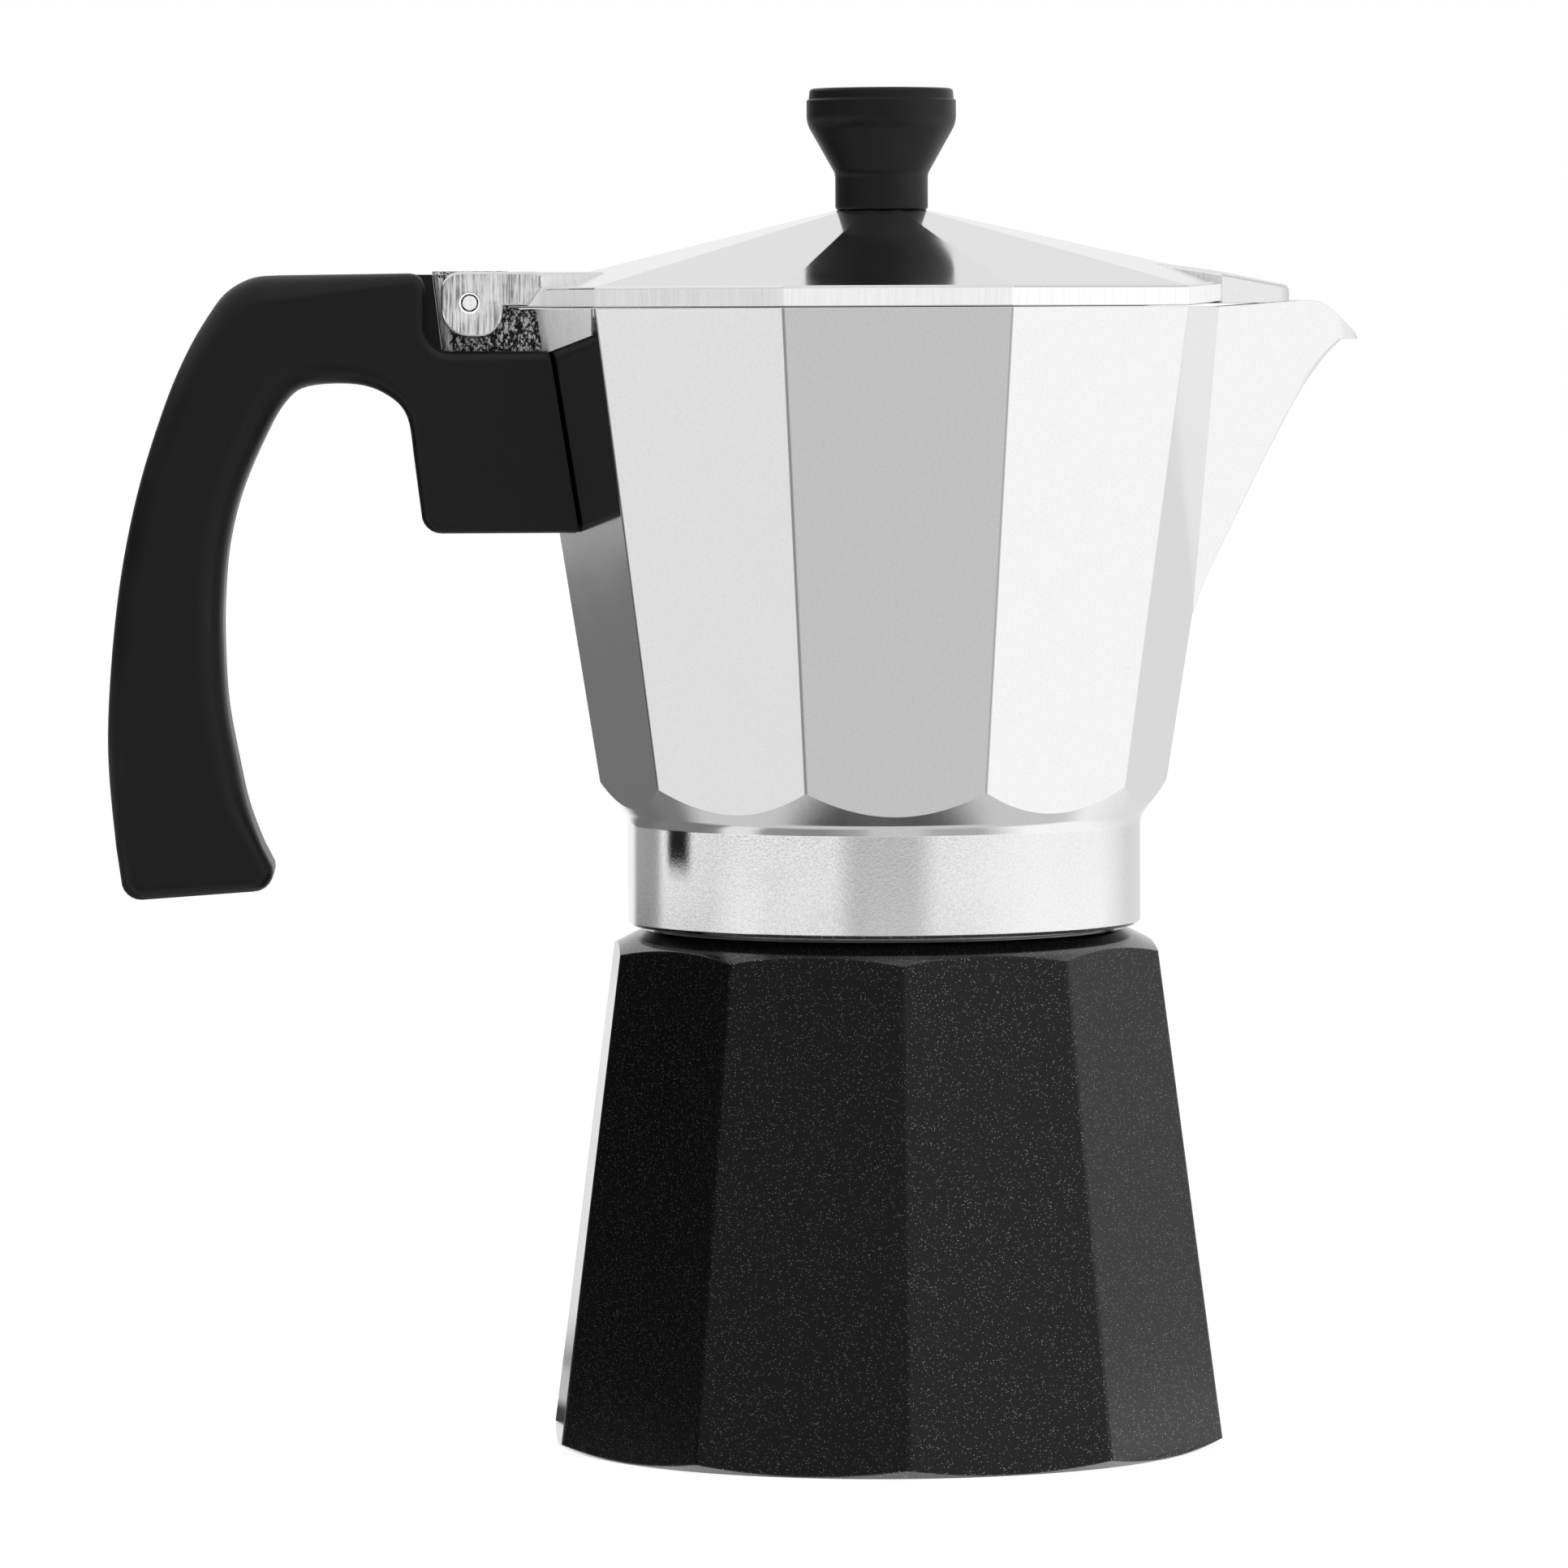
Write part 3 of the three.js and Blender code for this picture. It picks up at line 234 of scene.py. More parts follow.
def closed_mesh(name, points, faces, finish):
    """A closed mesh of the given points and faces, with its faces turned outwards."""
    mesh = bpy.data.meshes.new(name)
    mesh.from_pydata([tuple(point) for point in points], [], faces)
    work = bmesh.new()
    work.from_mesh(mesh)
    bmesh.ops.remove_doubles(work, verts=work.verts, dist=WELD_WITHIN)
    bent = [face for face in work.faces if len(face.verts) > 4 and not is_flat(face)]
    bmesh.ops.poke(work, faces=bent)
    bmesh.ops.recalc_face_normals(work, faces=work.faces)
    work.to_mesh(mesh)
    work.free()
    return add_object(name, mesh, finish)


def is_flat(face):
    """Whether all corners of a face lie in one plane."""
    middle = face.calc_center_median()
    return all(abs((corner.co - middle).dot(face.normal)) < FLAT_WITHIN for corner in face.verts)


def circle(radius, height, steps):
    """The points of a level circle round the axis."""
    angles = [2 * math.pi * i / steps for i in range(steps)]
    return [(radius * math.cos(angle), radius * math.sin(angle), height) for angle in angles]


def numbered(count, steps):
    """The point numbers of some rings of equally many points."""
    return [range(level * steps, (level + 1) * steps) for level in range(count)]


def bands(levels):
    """The faces between each ring of point numbers and the next, triangles where they meet."""
    faces = []
    for low, high in zip(levels, levels[1:]):
        for i, j in enumerate([*range(1, len(low)), 0]):
            faces.append(list(dict.fromkeys((low[i], low[j], high[j], high[i]))))
    return [face for face in faces if len(face) > 2]


def loft(name, rings, finish):
    """Joins rings of equally many points, with a flat cap at each end."""
    levels = numbered(len(rings), len(rings[0]))
    faces = [list(levels[0]), *bands(levels), list(levels[-1])]
    return closed_mesh(name, [point for ring in rings for point in ring], faces, finish)


def turned(name, profile, finish, steps=TURNED_STEPS):
    """Revolves a profile of (radius, height) pairs, closed towards the axis at both ends."""
    profile = [(0, profile[0][1]), *profile, (0, profile[-1][1])]
    points = []
    levels = []
    for radius, height in profile:
        ring = circle(radius, height, steps) if radius else [(0, 0, height)]
        levels.append([len(points) + i % len(ring) for i in range(steps)])
        points += ring
    return closed_mesh(name, points, bands(levels), finish)


def tube(name, profile, finish, steps=SMALL_STEPS):
    """Revolves a closed profile that stays clear of the axis."""
    points = [point for radius, height in profile for point in circle(radius, height, steps)]
    levels = numbered(len(profile), steps)
    return closed_mesh(name, points, bands([*levels, levels[0]]), finish)


def millimetres(points):
    """Points given in millimetres, as lengths in metres."""
    return [tuple(value * MM for value in point) for point in points]


def arc(x, z, radius, start, end, steps):
    """Points of an arc, from one angle in degrees to another."""
    turn = [math.radians(start + (end - start) * i / steps) for i in range(steps + 1)]
    return [(x + radius * math.cos(angle), z + radius * math.sin(angle)) for angle in turn]


def curve_through(points, steps):
    """A smooth line of (x, z) pairs through all the given points."""
    ends = [points[0], *points, points[-1]]
    line = []
    for before, start, end, after in zip(ends, ends[1:], ends[2:], ends[3:]):
        for i in range(steps):
            t = i / steps
            line.append(tuple(
                0.5 * (2 * b + (c - a) * t + (2 * a - 5 * b + 4 * c - d) * t ** 2
                       + (3 * b - a - 3 * c + d) * t ** 3)
                for a, b, c, d in zip(before, start, end, after)
            ))
    return [*line, points[-1]]


def rounded(corners):
    """A line through (x, z, radius) corners, each rounded by its radius."""
    line = []
    ends = [corners[0], *corners, corners[-1]]
    for before, here, after in zip(ends, corners, ends[2:]):
        spot = Vector(here[:2])
        radius = here[2]
        if not radius:
            line.append(tuple(spot))
            continue
        back = (Vector(before[:2]) - spot).normalized()
        ahead = (Vector(after[:2]) - spot).normalized()
        half = back.angle(ahead) / 2
        reach = radius / math.tan(half)
        middle = spot + (back + ahead).normalized() * (radius / math.sin(half))
        first = spot + back * reach - middle
        last = spot + ahead * reach - middle
        for i in range(ROUND_STEPS + 2):
            ray = first.slerp(last, i / (ROUND_STEPS + 1))
            line.append(tuple(middle + ray.normalized() * radius))
    return line


def along(x, start, end):
    """The value at x on the straight line through two (x, value) points."""
    return start[1] + (end[1] - start[1]) * (x - start[0]) / (end[0] - start[0])


def facet_ring(corner, height, turn, rounding):
    """A ten-sided ring whose corners are rounded. The first corner is at the given turn."""
    centre = corner - rounding / FLAT
    points = []
    for i in range(FACES):
        middle = turn + 2 * i * HALF_FACE
        for step in range(ROUND_STEPS + 1):
            angle = middle + HALF_FACE * (2 * step / ROUND_STEPS - 1)
            points.append(Vector((
                centre * math.cos(middle) + rounding * math.cos(angle),
                centre * math.sin(middle) + rounding * math.sin(angle),
                height,
            )))
    return points


def faceted(name, levels, turn, rounding, finish):
    """A ten-sided body through (corner radius, height) levels."""
    rings = [facet_ring(corner, height, turn, rounding) for corner, height in levels]
    return loft(name, rings, finish)


def prism(name, outline, half_width, finish):
    """An outline of (x, z) pairs, carried evenly to both sides of the middle plane."""
    rings = [[(x, side * half_width, z) for x, z in outline] for side in (-1, 1)]
    return loft(name, rings, finish)


def inward_normals(outline):
    """The unit normal at each point of a closed outline, pointing into it."""
    area = sum(
        x0 * z1 - x1 * z0 for (x0, z0), (x1, z1) in zip(outline, [*outline[1:], outline[0]])
    )
    side = 1 if area > 0 else -1
    normals = []
    for i, here in enumerate(outline):
        before = outline[i - 1]
        after = outline[(i + 1) % len(outline)]
        first = Vector((here[0] - before[0], here[1] - before[1])).normalized()
        second = Vector((after[0] - here[0], after[1] - here[1])).normalized()
        first = Vector((-first.y, first.x)) * side
        second = Vector((-second.y, second.x)) * side
        bisector = (first + second).normalized()
        normals.append(bisector / max(0.5, bisector.dot(first)))
    return normals


def soft_prism(name, outline, half_width, softness, steps, finish):
    """A prism whose long edges are rounded by the softness given for each point."""
    normals = inward_normals(outline)
    rings = []
    for side in (-1, 1):
        levels = range(steps + 1) if side < 0 else range(steps, -1, -1)
        for level in levels:
            angle = math.pi / 2 * level / steps
            ring = []
            for (x, z), normal, soft in zip(outline, normals, softness):
                inset = soft * (1 - math.sin(angle))
                out = half_width - soft * (1 - math.cos(angle))
                ring.append((x + normal.x * inset, side * out, z + normal.y * inset))
            rings.append(ring)
    return loft(name, rings, finish)


def block(name, low, high, finish):
    """A straight box between two opposite corners."""
    x0, y0, z0 = low
    x1, y1, z1 = high
    base = ((x0, y0), (x1, y0), (x1, y1), (x0, y1))
    return loft(name, [[(x, y, z) for x, y in base] for z in (z0, z1)], finish)


def rod(name, radius, half_length, x, z, finish):
    """A rod along Y with a small chamfer at both ends."""
    edge = radius / 5
    made = turned(name, [
        (radius - edge, -half_length), (radius, edge - half_length),
        (radius, half_length - edge), (radius - edge, half_length),
    ], finish, steps=SMALL_STEPS)
    made.data.transform(Matrix.Translation((x, 0, z)) @ Matrix.Rotation(math.pi / 2, 4, "X"))
    return made


def post(name, radius, low, high, x, finish):
    """An upright round post."""
    made = turned(name, [(radius, low), (radius, high)], finish, steps=SMALL_STEPS)
    made.data.transform(Matrix.Translation((x, 0, 0)))
    return made


def combine(body, operation, *tools):
    """Works the tools into a body, one after another, and removes them."""
    for tool in tools:
        step = body.modifiers.new("combine", "BOOLEAN")
        step.operation = operation
        step.solver = "EXACT"
        step.material_mode = "TRANSFER"
        step.object = tool
        mesh = bpy.data.meshes.new_from_object(
            body.evaluated_get(bpy.context.evaluated_depsgraph_get())
        )
        body.modifiers.clear()
        body.data = mesh
        bpy.data.objects.remove(tool)
        if not len(mesh.polygons):
            raise RuntimeError(f"nothing was left of {body.name}")
    return body


def add(body, *tools):
    """Adds the tools to a body."""
    return combine(body, "UNION", *tools)


def cut(body, *tools):
    """Cuts the tools from a body."""
    return combine(body, "DIFFERENCE", *tools)


def share_of(body, *tools):
    """Keeps what a body shares with the tools."""
    return combine(body, "INTERSECT", *tools)


def paint(piece, finish, wanted):
    """Gives the faces that a test accepts another finish."""
    piece.data.materials.append(finish)
    index = len(piece.data.materials) - 1
    for face in piece.data.polygons:
        if wanted(face):
            face.material_index = index


def place(piece, body, node, crease=22):
    """Shades a finished piece, and lets it stand for its node on a body.

    Edges that are sharper than the crease, in degrees, stay sharp.
    """
    work = bmesh.new()
    work.from_mesh(piece.data)
    bmesh.ops.remove_doubles(work, verts=work.verts, dist=CLEAN_WITHIN)
    bmesh.ops.dissolve_degenerate(work, dist=CLEAN_WITHIN, edges=work.edges)
    work.to_mesh(piece.data)
    work.free()
    for face in piece.data.polygons:
        face.use_smooth = True
    piece.data.set_sharp_from_angle(angle=math.radians(crease))
    even = piece.modifiers.new("even shading", "WEIGHTED_NORMAL")
    even.keep_sharp = True
    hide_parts(node)
    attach(piece, body)


# ---- Finishes ----


BLACK = (0, 0, 0, 1)
SKEW = (0.6, 0.4, 0.9)
FINE_EDGE = 0.15 * MM
SOFT_EDGE = 0.25 * MM
CAST_EDGE = 0.3 * MM
EDGE_SAMPLES = 6
UPRIGHT_LINES = (1, 1, 0.04)


def grey(value):
    """An opaque grey for a colour input."""
    return (value, value, value, 1)


class Nodes:
    """A node tree under construction."""

    def __init__(self, tree):
        self.tree = tree

    def feed(self, socket, value):
        """Gives an input a value, or links it to the output of another node."""
        if isinstance(value, bpy.types.NodeSocket):
            self.tree.links.new(value, socket)
        else:
            socket.default_value = value

    def add(self, kind, **inputs):
        """A new node, with some of its inputs fed by their names."""
        node = self.tree.nodes.new(kind)
        for name, value in inputs.items():
            self.feed(node.inputs[name.replace("_", " ")], value)
        return node

    def math(self, operation, *values):
        node = self.add("ShaderNodeMath")
        node.operation = operation
        for socket, value in zip(node.inputs, values):
            self.feed(socket, value)
        return node.outputs[0]

    def spread(self, value, low, high, to_low=0, to_high=1):
        """Carries a value from one range to another, and stops at the ends."""
        return self.add(
            "ShaderNodeMapRange", Value=value, From_Min=low, From_Max=high, To_Min=to_low,
            To_Max=to_high,
        ).outputs["Result"]

    def mix(self, factor, first, second):
        node = self.add("ShaderNodeMix")
        node.data_type = "RGBA"
        for socket, value in (("Factor", factor), (6, first), (7, second)):
            self.feed(node.inputs[socket], value)
        return node.outputs[2]


class Finish(Nodes):
    """A material under construction: a shader and the nodes that feed it."""

    def __init__(self, name, tone, roughness, metallic=0.0, specular=0.5):
        self.material = bpy.data.materials.new(name)
        self.material.use_nodes = True
        super().__init__(self.material.node_tree)
        self.inputs = self.tree.nodes["Principled BSDF"].inputs
        self.inputs["Base Color"].default_value = (*tone, 1)
        self.inputs["Roughness"].default_value = roughness
        self.inputs["Metallic"].default_value = metallic
        self.inputs["Specular IOR Level"].default_value = specular
        self.place = self.add("ShaderNodeTexCoord").outputs["Object"]
        self.skewed = self.placed(Rotation=SKEW)
        self.normal = None

    def placed(self, **change):
        """The place on the piece, turned or scaled."""
        return self.add("ShaderNodeMapping", Vector=self.place, **change).outputs["Vector"]

    def grain(self, scale, detail=2.0, roughness=0.5, stretch=None):
        """Fine noise, which a scale for each axis draws out to lines."""
        vector = self.placed(Scale=stretch) if stretch else self.skewed
        return self.add(
            "ShaderNodeTexNoise", Vector=vector, Scale=scale, Detail=detail, Roughness=roughness
        ).outputs["Fac"]

    def colour(self, factor, first, second):
        """Mixes two colours on the surface."""
        self.feed(self.inputs["Base Color"], self.mix(factor, first, second))

    def rough(self, value, smooth, rough, low=0.3, high=0.7):
        """Roughens the surface from smooth to rough as the value goes from low to high."""
        self.feed(self.inputs["Roughness"], self.spread(value, low, high, smooth, rough))

    def bend_light(self, node):
        """Lets the normals of a node shape the light on the surface."""
        self.normal = node.outputs["Normal"]
        self.feed(self.inputs["Normal"], self.normal)

    def soften_edges(self, radius):
        node = self.add("ShaderNodeBevel", Radius=radius)
        node.samples = EDGE_SAMPLES
        self.bend_light(node)

    def bump(self, height, distance, strength=1.0):
        node = self.add("ShaderNodeBump", Height=height, Distance=distance, Strength=strength)
        if self.normal:
            self.feed(node.inputs["Normal"], self.normal)
        self.bend_light(node)


def polished_aluminium(tone):
    """Cast aluminium, ground and polished: faint clouds and fine polishing lines."""
    finish = Finish("polished aluminium", tone, 0.12, metallic=1.0)
    shade = finish.spread(finish.grain(2600, 2, 0.7), 0.35, 0.65, 0.955, 1.005)
    finish.colour(shade, BLACK, (*tone, 1))
    finish.rough(finish.grain(60, 3), 0.08, 0.13)
    finish.soften_edges(FINE_EDGE)
    finish.bump(finish.grain(900, 2, stretch=(1, 1, 0.12)), 0.003 * MM, 0.6)
    finish.bump(finish.grain(1500, 2, 0.7), 0.002 * MM, 0.6)
    return finish.material


def ground_aluminium(tone):
    """The lid's rim band: an open ground surface with fine upright marks."""
    finish = Finish("ground aluminium", tone, 0.26, metallic=0.05)
    lines = finish.grain(1900, 3, 0.7, UPRIGHT_LINES)
    finish.colour(finish.spread(lines, 0.4, 0.6), grey(0.93), grey(1.0))
    finish.rough(lines, 0.24, 0.36)
    finish.soften_edges(FINE_EDGE)
    finish.bump(lines, 0.02 * MM, 0.8)
    return finish.material


def turned_aluminium(tone):
    """The collar: turned, with a sandy grain that breaks up what it mirrors."""
    finish = Finish("turned aluminium", tone, 0.2, metallic=1.0)
    grain = finish.grain(2600, 3, 0.7)
    finish.colour(finish.spread(grain, 0.38, 0.62, 0.92, 1), BLACK, (*tone, 1))
    finish.rough(finish.grain(120, 3), 0.05, 0.09)
    finish.soften_edges(FINE_EDGE)
    finish.bump(grain, 0.016 * MM, 0.8)
    return finish.material


def brushed_aluminium():
    """The sides of the ears, ground in one direction with open scratches; painted shade darkens the
    grooves.
    """
    finish = Finish("brushed aluminium", (0.86, 0.86, 0.865), 0.24, metallic=0.4)
    lines = finish.grain(2900, 4, 0.75, UPRIGHT_LINES)
    patches = finish.grain(260, 2)
    both = finish.math("MULTIPLY_ADD", patches, 0.22, lines)
    # Partly painted shade: the scratches' sunken lines are darker, and the broad patches vary the
    # tone.
    finish.colour(finish.spread(both, 0.5, 0.66), grey(0.3), grey(1.0))
    finish.rough(patches, 0.16, 0.34, 0.35, 0.65)
    finish.soften_edges(SOFT_EDGE)
    finish.bump(lines, 0.12 * MM)
    return finish.material


def cast_aluminium():
    """Bare cast aluminium, coarse and pitted, with bright grains; its hollows are part dark metal,
    part painted shade.
    """
    finish = Finish("cast aluminium", (0.5, 0.5, 0.51), 0.36, metallic=1.0)
    pits = finish.grain(3200, 3, 0.6)
    lumps = finish.grain(2500, 3, 0.7, (1, 1, 0.6))
    # Partly painted shade: where the lumps sink the colour goes nearly black, where they rise it is
    # bright.
    finish.colour(finish.spread(lumps, 0.5, 0.57), grey(0.03), grey(1.0))
    finish.rough(pits, 0.2, 0.45)
    finish.soften_edges(CAST_EDGE)
    finish.bump(lumps, 0.4 * MM)
    finish.bump(pits, 0.1 * MM)
    return finish.material


def blasted_aluminium():
    """The inside of the castings: an even, fine satin grey."""
    finish = Finish("blasted aluminium", (0.56, 0.56, 0.57), 0.42, metallic=1.0)
    grain = finish.grain(1700, 3, 0.6)
    finish.colour(finish.spread(grain, 0.35, 0.65), grey(0.5), grey(0.62))
    finish.rough(finish.grain(70, 2), 0.36, 0.46)
    finish.soften_edges(SOFT_EDGE)
    finish.bump(grain, 0.02 * MM, 0.7)
    return finish.material


def sheet_aluminium():
    """Spun sheet: rings of fine turning marks."""
    finish = Finish("spun aluminium", (0.74, 0.745, 0.75), 0.32, metallic=1.0)
    marks = finish.grain(2600, 2, stretch=(0.05, 0.05, 1))
    finish.rough(marks, 0.26, 0.4)
    finish.bump(marks, 0.01 * MM)
    return finish.material


def powder_coat(coat, sparkle):
    """A black powder coat: a fine matt grain with bright metal flecks."""
    finish = Finish("black powder coat", coat, 0.34, specular=0.4)
    cells = finish.add("ShaderNodeTexVoronoi", Vector=finish.skewed, Scale=5400)
    chance = finish.add("ShaderNodeSeparateColor", Color=cells.outputs["Color"]).outputs["Red"]
    few = finish.spread(chance, 0.84, 0.94)
    core = finish.spread(cells.outputs["Distance"], 0.16, 0.4, 1, 0)
    fleck = finish.math("MULTIPLY", few, core)
    finish.colour(fleck, (*coat, 1), (*sparkle, 1))
    finish.feed(finish.inputs["Metallic"], finish.spread(fleck, 0, 0.4))
    grain = finish.grain(1500, 3, 0.6)
    finish.rough(grain, 0.08, 0.12)
    finish.soften_edges(CAST_EDGE)
    finish.bump(grain, 0.006 * MM, 0.6)
    return finish.material


def black_plastic(tone):
    """A satin black moulding with a faint moulded grain."""
    finish = Finish("satin black plastic", tone, 0.38, specular=0.32)
    finish.rough(finish.grain(90, 3), 0.34, 0.43, 0.35, 0.65)
    finish.soften_edges(CAST_EDGE)
    finish.bump(finish.grain(1800, 2), 0.012 * MM, 0.6)
    return finish.material


def turned_metal(name, tone, smooth, rough):
    """Brass or steel with fine turning marks."""
    finish = Finish(name, tone, smooth, metallic=1.0)
    marks = finish.grain(1600, 2)
    finish.rough(marks, smooth, rough)
    finish.soften_edges(FINE_EDGE)
    finish.bump(marks, 0.006 * MM)
    return finish.material


def white_rubber():
    """Moulded rubber with a soft grain."""
    finish = Finish("white rubber", (0.78, 0.76, 0.71), 0.62, specular=0.35)
    grain = finish.grain(700, 3)
    finish.rough(grain, 0.56, 0.7)
    finish.bump(grain, 0.02 * MM)
    return finish.material


FINISHES = {}


def finishes():
    """The pot's finishes, made once."""
    if not FINISHES:
        scene = bpy.context.scene
        tone = scene.moka_collector.metal
        FINISHES.update(
            polished=polished_aluminium(tone),
            ground=ground_aluminium(tone),
            turned=turned_aluminium(tone),
            brushed=brushed_aluminium(),
            cast=cast_aluminium(),
            blasted=blasted_aluminium(),
            spun=sheet_aluminium(),
            coat=powder_coat(scene.moka_boiler.coat, scene.moka_boiler.sparkle),
            plastic=black_plastic(scene.moka_knob.plastic),
            brass=turned_metal("turned brass", (0.72, 0.53, 0.25), 0.22, 0.34),
            steel=turned_metal("bright steel", (0.68, 0.68, 0.69), 0.2, 0.32),
            rubber=white_rubber(),
        )
    return FINISHES


# ---- Pieces ----


class MOKA_OT_boiler(bpy.types.Operator):
    """Builds the black coated boiler with its neck, chamber and valve hole"""

    bl_idname = "moka.boiler"
    bl_label = "Boiler"

    def execute(self, context):
        sizes, finish = context.scene.moka_boiler, finishes()
        coat, inner = finish["coat"], finish["blasted"]
        turn = HALF_FACE + sizes.turn
        foot = (0, sizes.foot_corner)
        top = (sizes.side_height, sizes.top_corner)
        wide = sizes.foot_corner + OVERRUN
        shoulder = [(sizes.shoulder_radius, sizes.shoulder_top), (top[1], top[0])]
        rise = [(sizes.foot_radius, 0), (sizes.foot_corner, sizes.foot_rise)]
        body = faceted("boiler_body", [
            foot[::-1], (along(sizes.shoulder_top, foot, top), sizes.shoulder_top),
        ], turn, sizes.rounding, coat)
        share_of(body, turned("boiler_limits", [
            (sizes.foot_radius, 0), (wide, along(wide, *rise)), (wide, along(wide, *shoulder)),
            (sizes.shoulder_radius, sizes.shoulder_top),
        ], coat))
        ceiling = sizes.shoulder_top - sizes.roof
        add(body, turned("boiler_neck", [
            (sizes.neck_radius, ceiling), (sizes.neck_radius, NECK_TOP - RIM_EDGE),
            (sizes.neck_radius - RIM_EDGE, NECK_TOP),
        ], inner))
        wall = sizes.wall / FLAT
        inside = faceted("boiler_inside", [
            (along(height, foot, top) - wall, height) for height in (sizes.floor, ceiling)
        ], turn, INNER_ROUNDING, inner)
        vault = sizes.top_corner - wall
        corner = 5 * MM
        reach = sizes.foot_corner - wall - corner
        low = ceiling - (vault - sizes.neck_bore) / 2
        share_of(inside, turned("boiler_vault", [
            *arc(reach, sizes.floor + corner, corner, -90, 0, 6), (wide, low), (vault, low),
            (sizes.neck_bore, ceiling),
        ], inner))
        mouth = post("boiler_mouth", sizes.neck_bore, ceiling - MM, NECK_TOP + MM, 0, inner)
        cut(body, inside, mouth)
        hole = post("valve_hole", 4.5 * MM, -8 * MM, OVERRUN, 0, inner)
        hole.data.transform(valve_place(context.scene))
        cut(body, hole)
        join_mesh(body, thread("boiler_thread", sizes.neck_radius, -1, 0, inner))
        place(body, "base", "boiler")
        return {"FINISHED"}


def thread(name, root, side, lag, finish):
    """The helical ridge of the neck, or with side 1 that of the socket."""
    pitch = 3 * MM
    turns = 2
    steps = 72
    fade_steps = 9
    count = turns * steps
    foot = NECK_TOP - 2.4 * MM - pitch * turns + lag
    back = root + side * 0.6 * MM
    root_lift, crest_lift = 0.65 * MM, 0.35 * MM
    rings = []
    for i in range(count + 1):
        angle = 2 * math.pi * i / steps
        height = foot + pitch * i / steps
        front = root - side * MM * min(1, i / fade_steps, (count - i) / fade_steps)
        rings.append([
            (radius * math.cos(angle), radius * math.sin(angle), height + lift)
            for radius, lift in (
                (back, -root_lift), (front, -crest_lift), (front, crest_lift), (back, root_lift)
            )
        ])
    return loft(name, rings, finish)


def join_mesh(body, other):
    """Puts another closed mesh into a body's mesh as it is."""
    work = bmesh.new()
    work.from_mesh(body.data)
    start = len(work.faces)
    index = body.data.materials.find(other.data.materials[0].name)
    work.from_mesh(other.data)
    work.faces.ensure_lookup_table()
    for face in work.faces[start:]:
        face.material_index = max(index, 0)
    work.to_mesh(body.data)
    work.free()
    bpy.data.objects.remove(other)


# Points of the spout's keel and of its lip, as shares of the height and of the reach. The tip
# takes the place of the keel's first point, so that the spout doesn't begin with a width of zero.
KEEL_SHARES = (
    (0, 0), (0.145, 0.097), (0.409, 0.336), (0.584, 0.496), (0.761, 0.668), (0.848, 0.765),
    (0.936, 0.882), (1, 1),
)
KEEL_TIP_SHARES = (0.012, 0.006)
LIP_SHARES = ((0.19, 0.92), (0.4, 0.75), (0.68, 0.5), (0.85, 0.33), (0.95, 0.17), (1, -0.1))
BEAK = 2.6 * MM
NOSE_STEPS = 8
NOSE_START_SHARE = 0.8
NOSE_OVERSHOOT = 0.05
FLARE_START_SHARE = 0.8


def collector_corner(sizes, height):
    """How far the jug's corners stand off the axis at a height."""
    return along(height, (sizes.foot_height, sizes.foot_corner), (RIM_HEIGHT, RIM_CORNER))


def spout_section(sizes, keel, height, back, inset=0.0, flare=0.0):
    """One level of the spout: straight sides that meet in a rounded keel.

    The flare is how far the sides aim past the keel, which makes the nose blunt.
    """
    foot = RIM_HEIGHT - sizes.spout_height
    half = sizes.spout_half_width * (height - foot) / sizes.spout_height
    root = collector_corner(sizes, height) - half * math.tan(HALF_FACE)
    half *= 1 - inset
    apex = keel + NOSE_OVERSHOOT * (keel - root) + flare
    start = Vector((root + NOSE_START_SHARE * (apex - root), (1 - NOSE_START_SHARE) * half))
    end = Vector((keel, 0))
    control = Vector((keel, half * (apex - keel) / (apex - root)))
    nose = []
    for i in range(NOSE_STEPS + 1):
        t = i / NOSE_STEPS
        point = (1 - t) ** 2 * start + 2 * t * (1 - t) * control + t * t * end
        nose.append((point.x, point.y))
    side = [(back, half), (root, half), *nose]
    mirrored = [(x, -y) for x, y in reversed(side[:-1])]
    return [(x, y, height) for x, y in [*side, *mirrored]]


def spout_levels(sizes):
    """The keel's levels from its foot to the lip: share of the height, reach and height."""
    foot = RIM_HEIGHT - sizes.spout_height
    start = collector_corner(sizes, foot)
    reach = sizes.spout_reach - BEAK - start
    keel = curve_through(KEEL_SHARES, 4)
    keel[0] = KEEL_TIP_SHARES
    return [(up, start + reach * out, foot + (LIP_HEIGHT - foot) * up) for up, out in keel]


def spout_body(sizes, finish):
    """The wedge of the spout, from its foot on the corner up to the pouring lip."""
    foot = RIM_HEIGHT - sizes.spout_height
    crest = RIM_HEIGHT + 0.9 * MM
    reach = sizes.spout_reach
    crown = reach - 7.5 * MM
    back = collector_corner(sizes, foot) - sizes.wall
    rings = []
    for up, keel, height in spout_levels(sizes):
        late = max(0, (up - FLARE_START_SHARE) / (1 - FLARE_START_SHARE))
        flare = BEAK * late * late * (3 - 2 * late)
        rings.append(spout_section(sizes, keel, height, back, flare=flare))
    for height in (LIP_HEIGHT + 0.05 * MM, crest + OVERRUN):
        rings.append(spout_section(sizes, reach, height, back))
    edge = curve_through([
        (reach, LIP_HEIGHT), *(
            (crown + (reach - crown) * out, LIP_HEIGHT + (crest - LIP_HEIGHT) * up)
            for up, out in LIP_SHARES
        ), (crown - 4 * MM, crest - 0.1 * MM), (RIM_CORNER - 4 * MM, RIM_HEIGHT),
    ], 5)
    above = reach + OVERRUN
    limits = prism("spout_limits", [
        (back, foot), (above, foot), (above, LIP_HEIGHT - MM), (reach, LIP_HEIGHT - MM), *edge,
        (back, RIM_HEIGHT),
    ], sizes.spout_half_width + OVERRUN, finish)
    return share_of(loft("spout_body", rings, finish), limits)


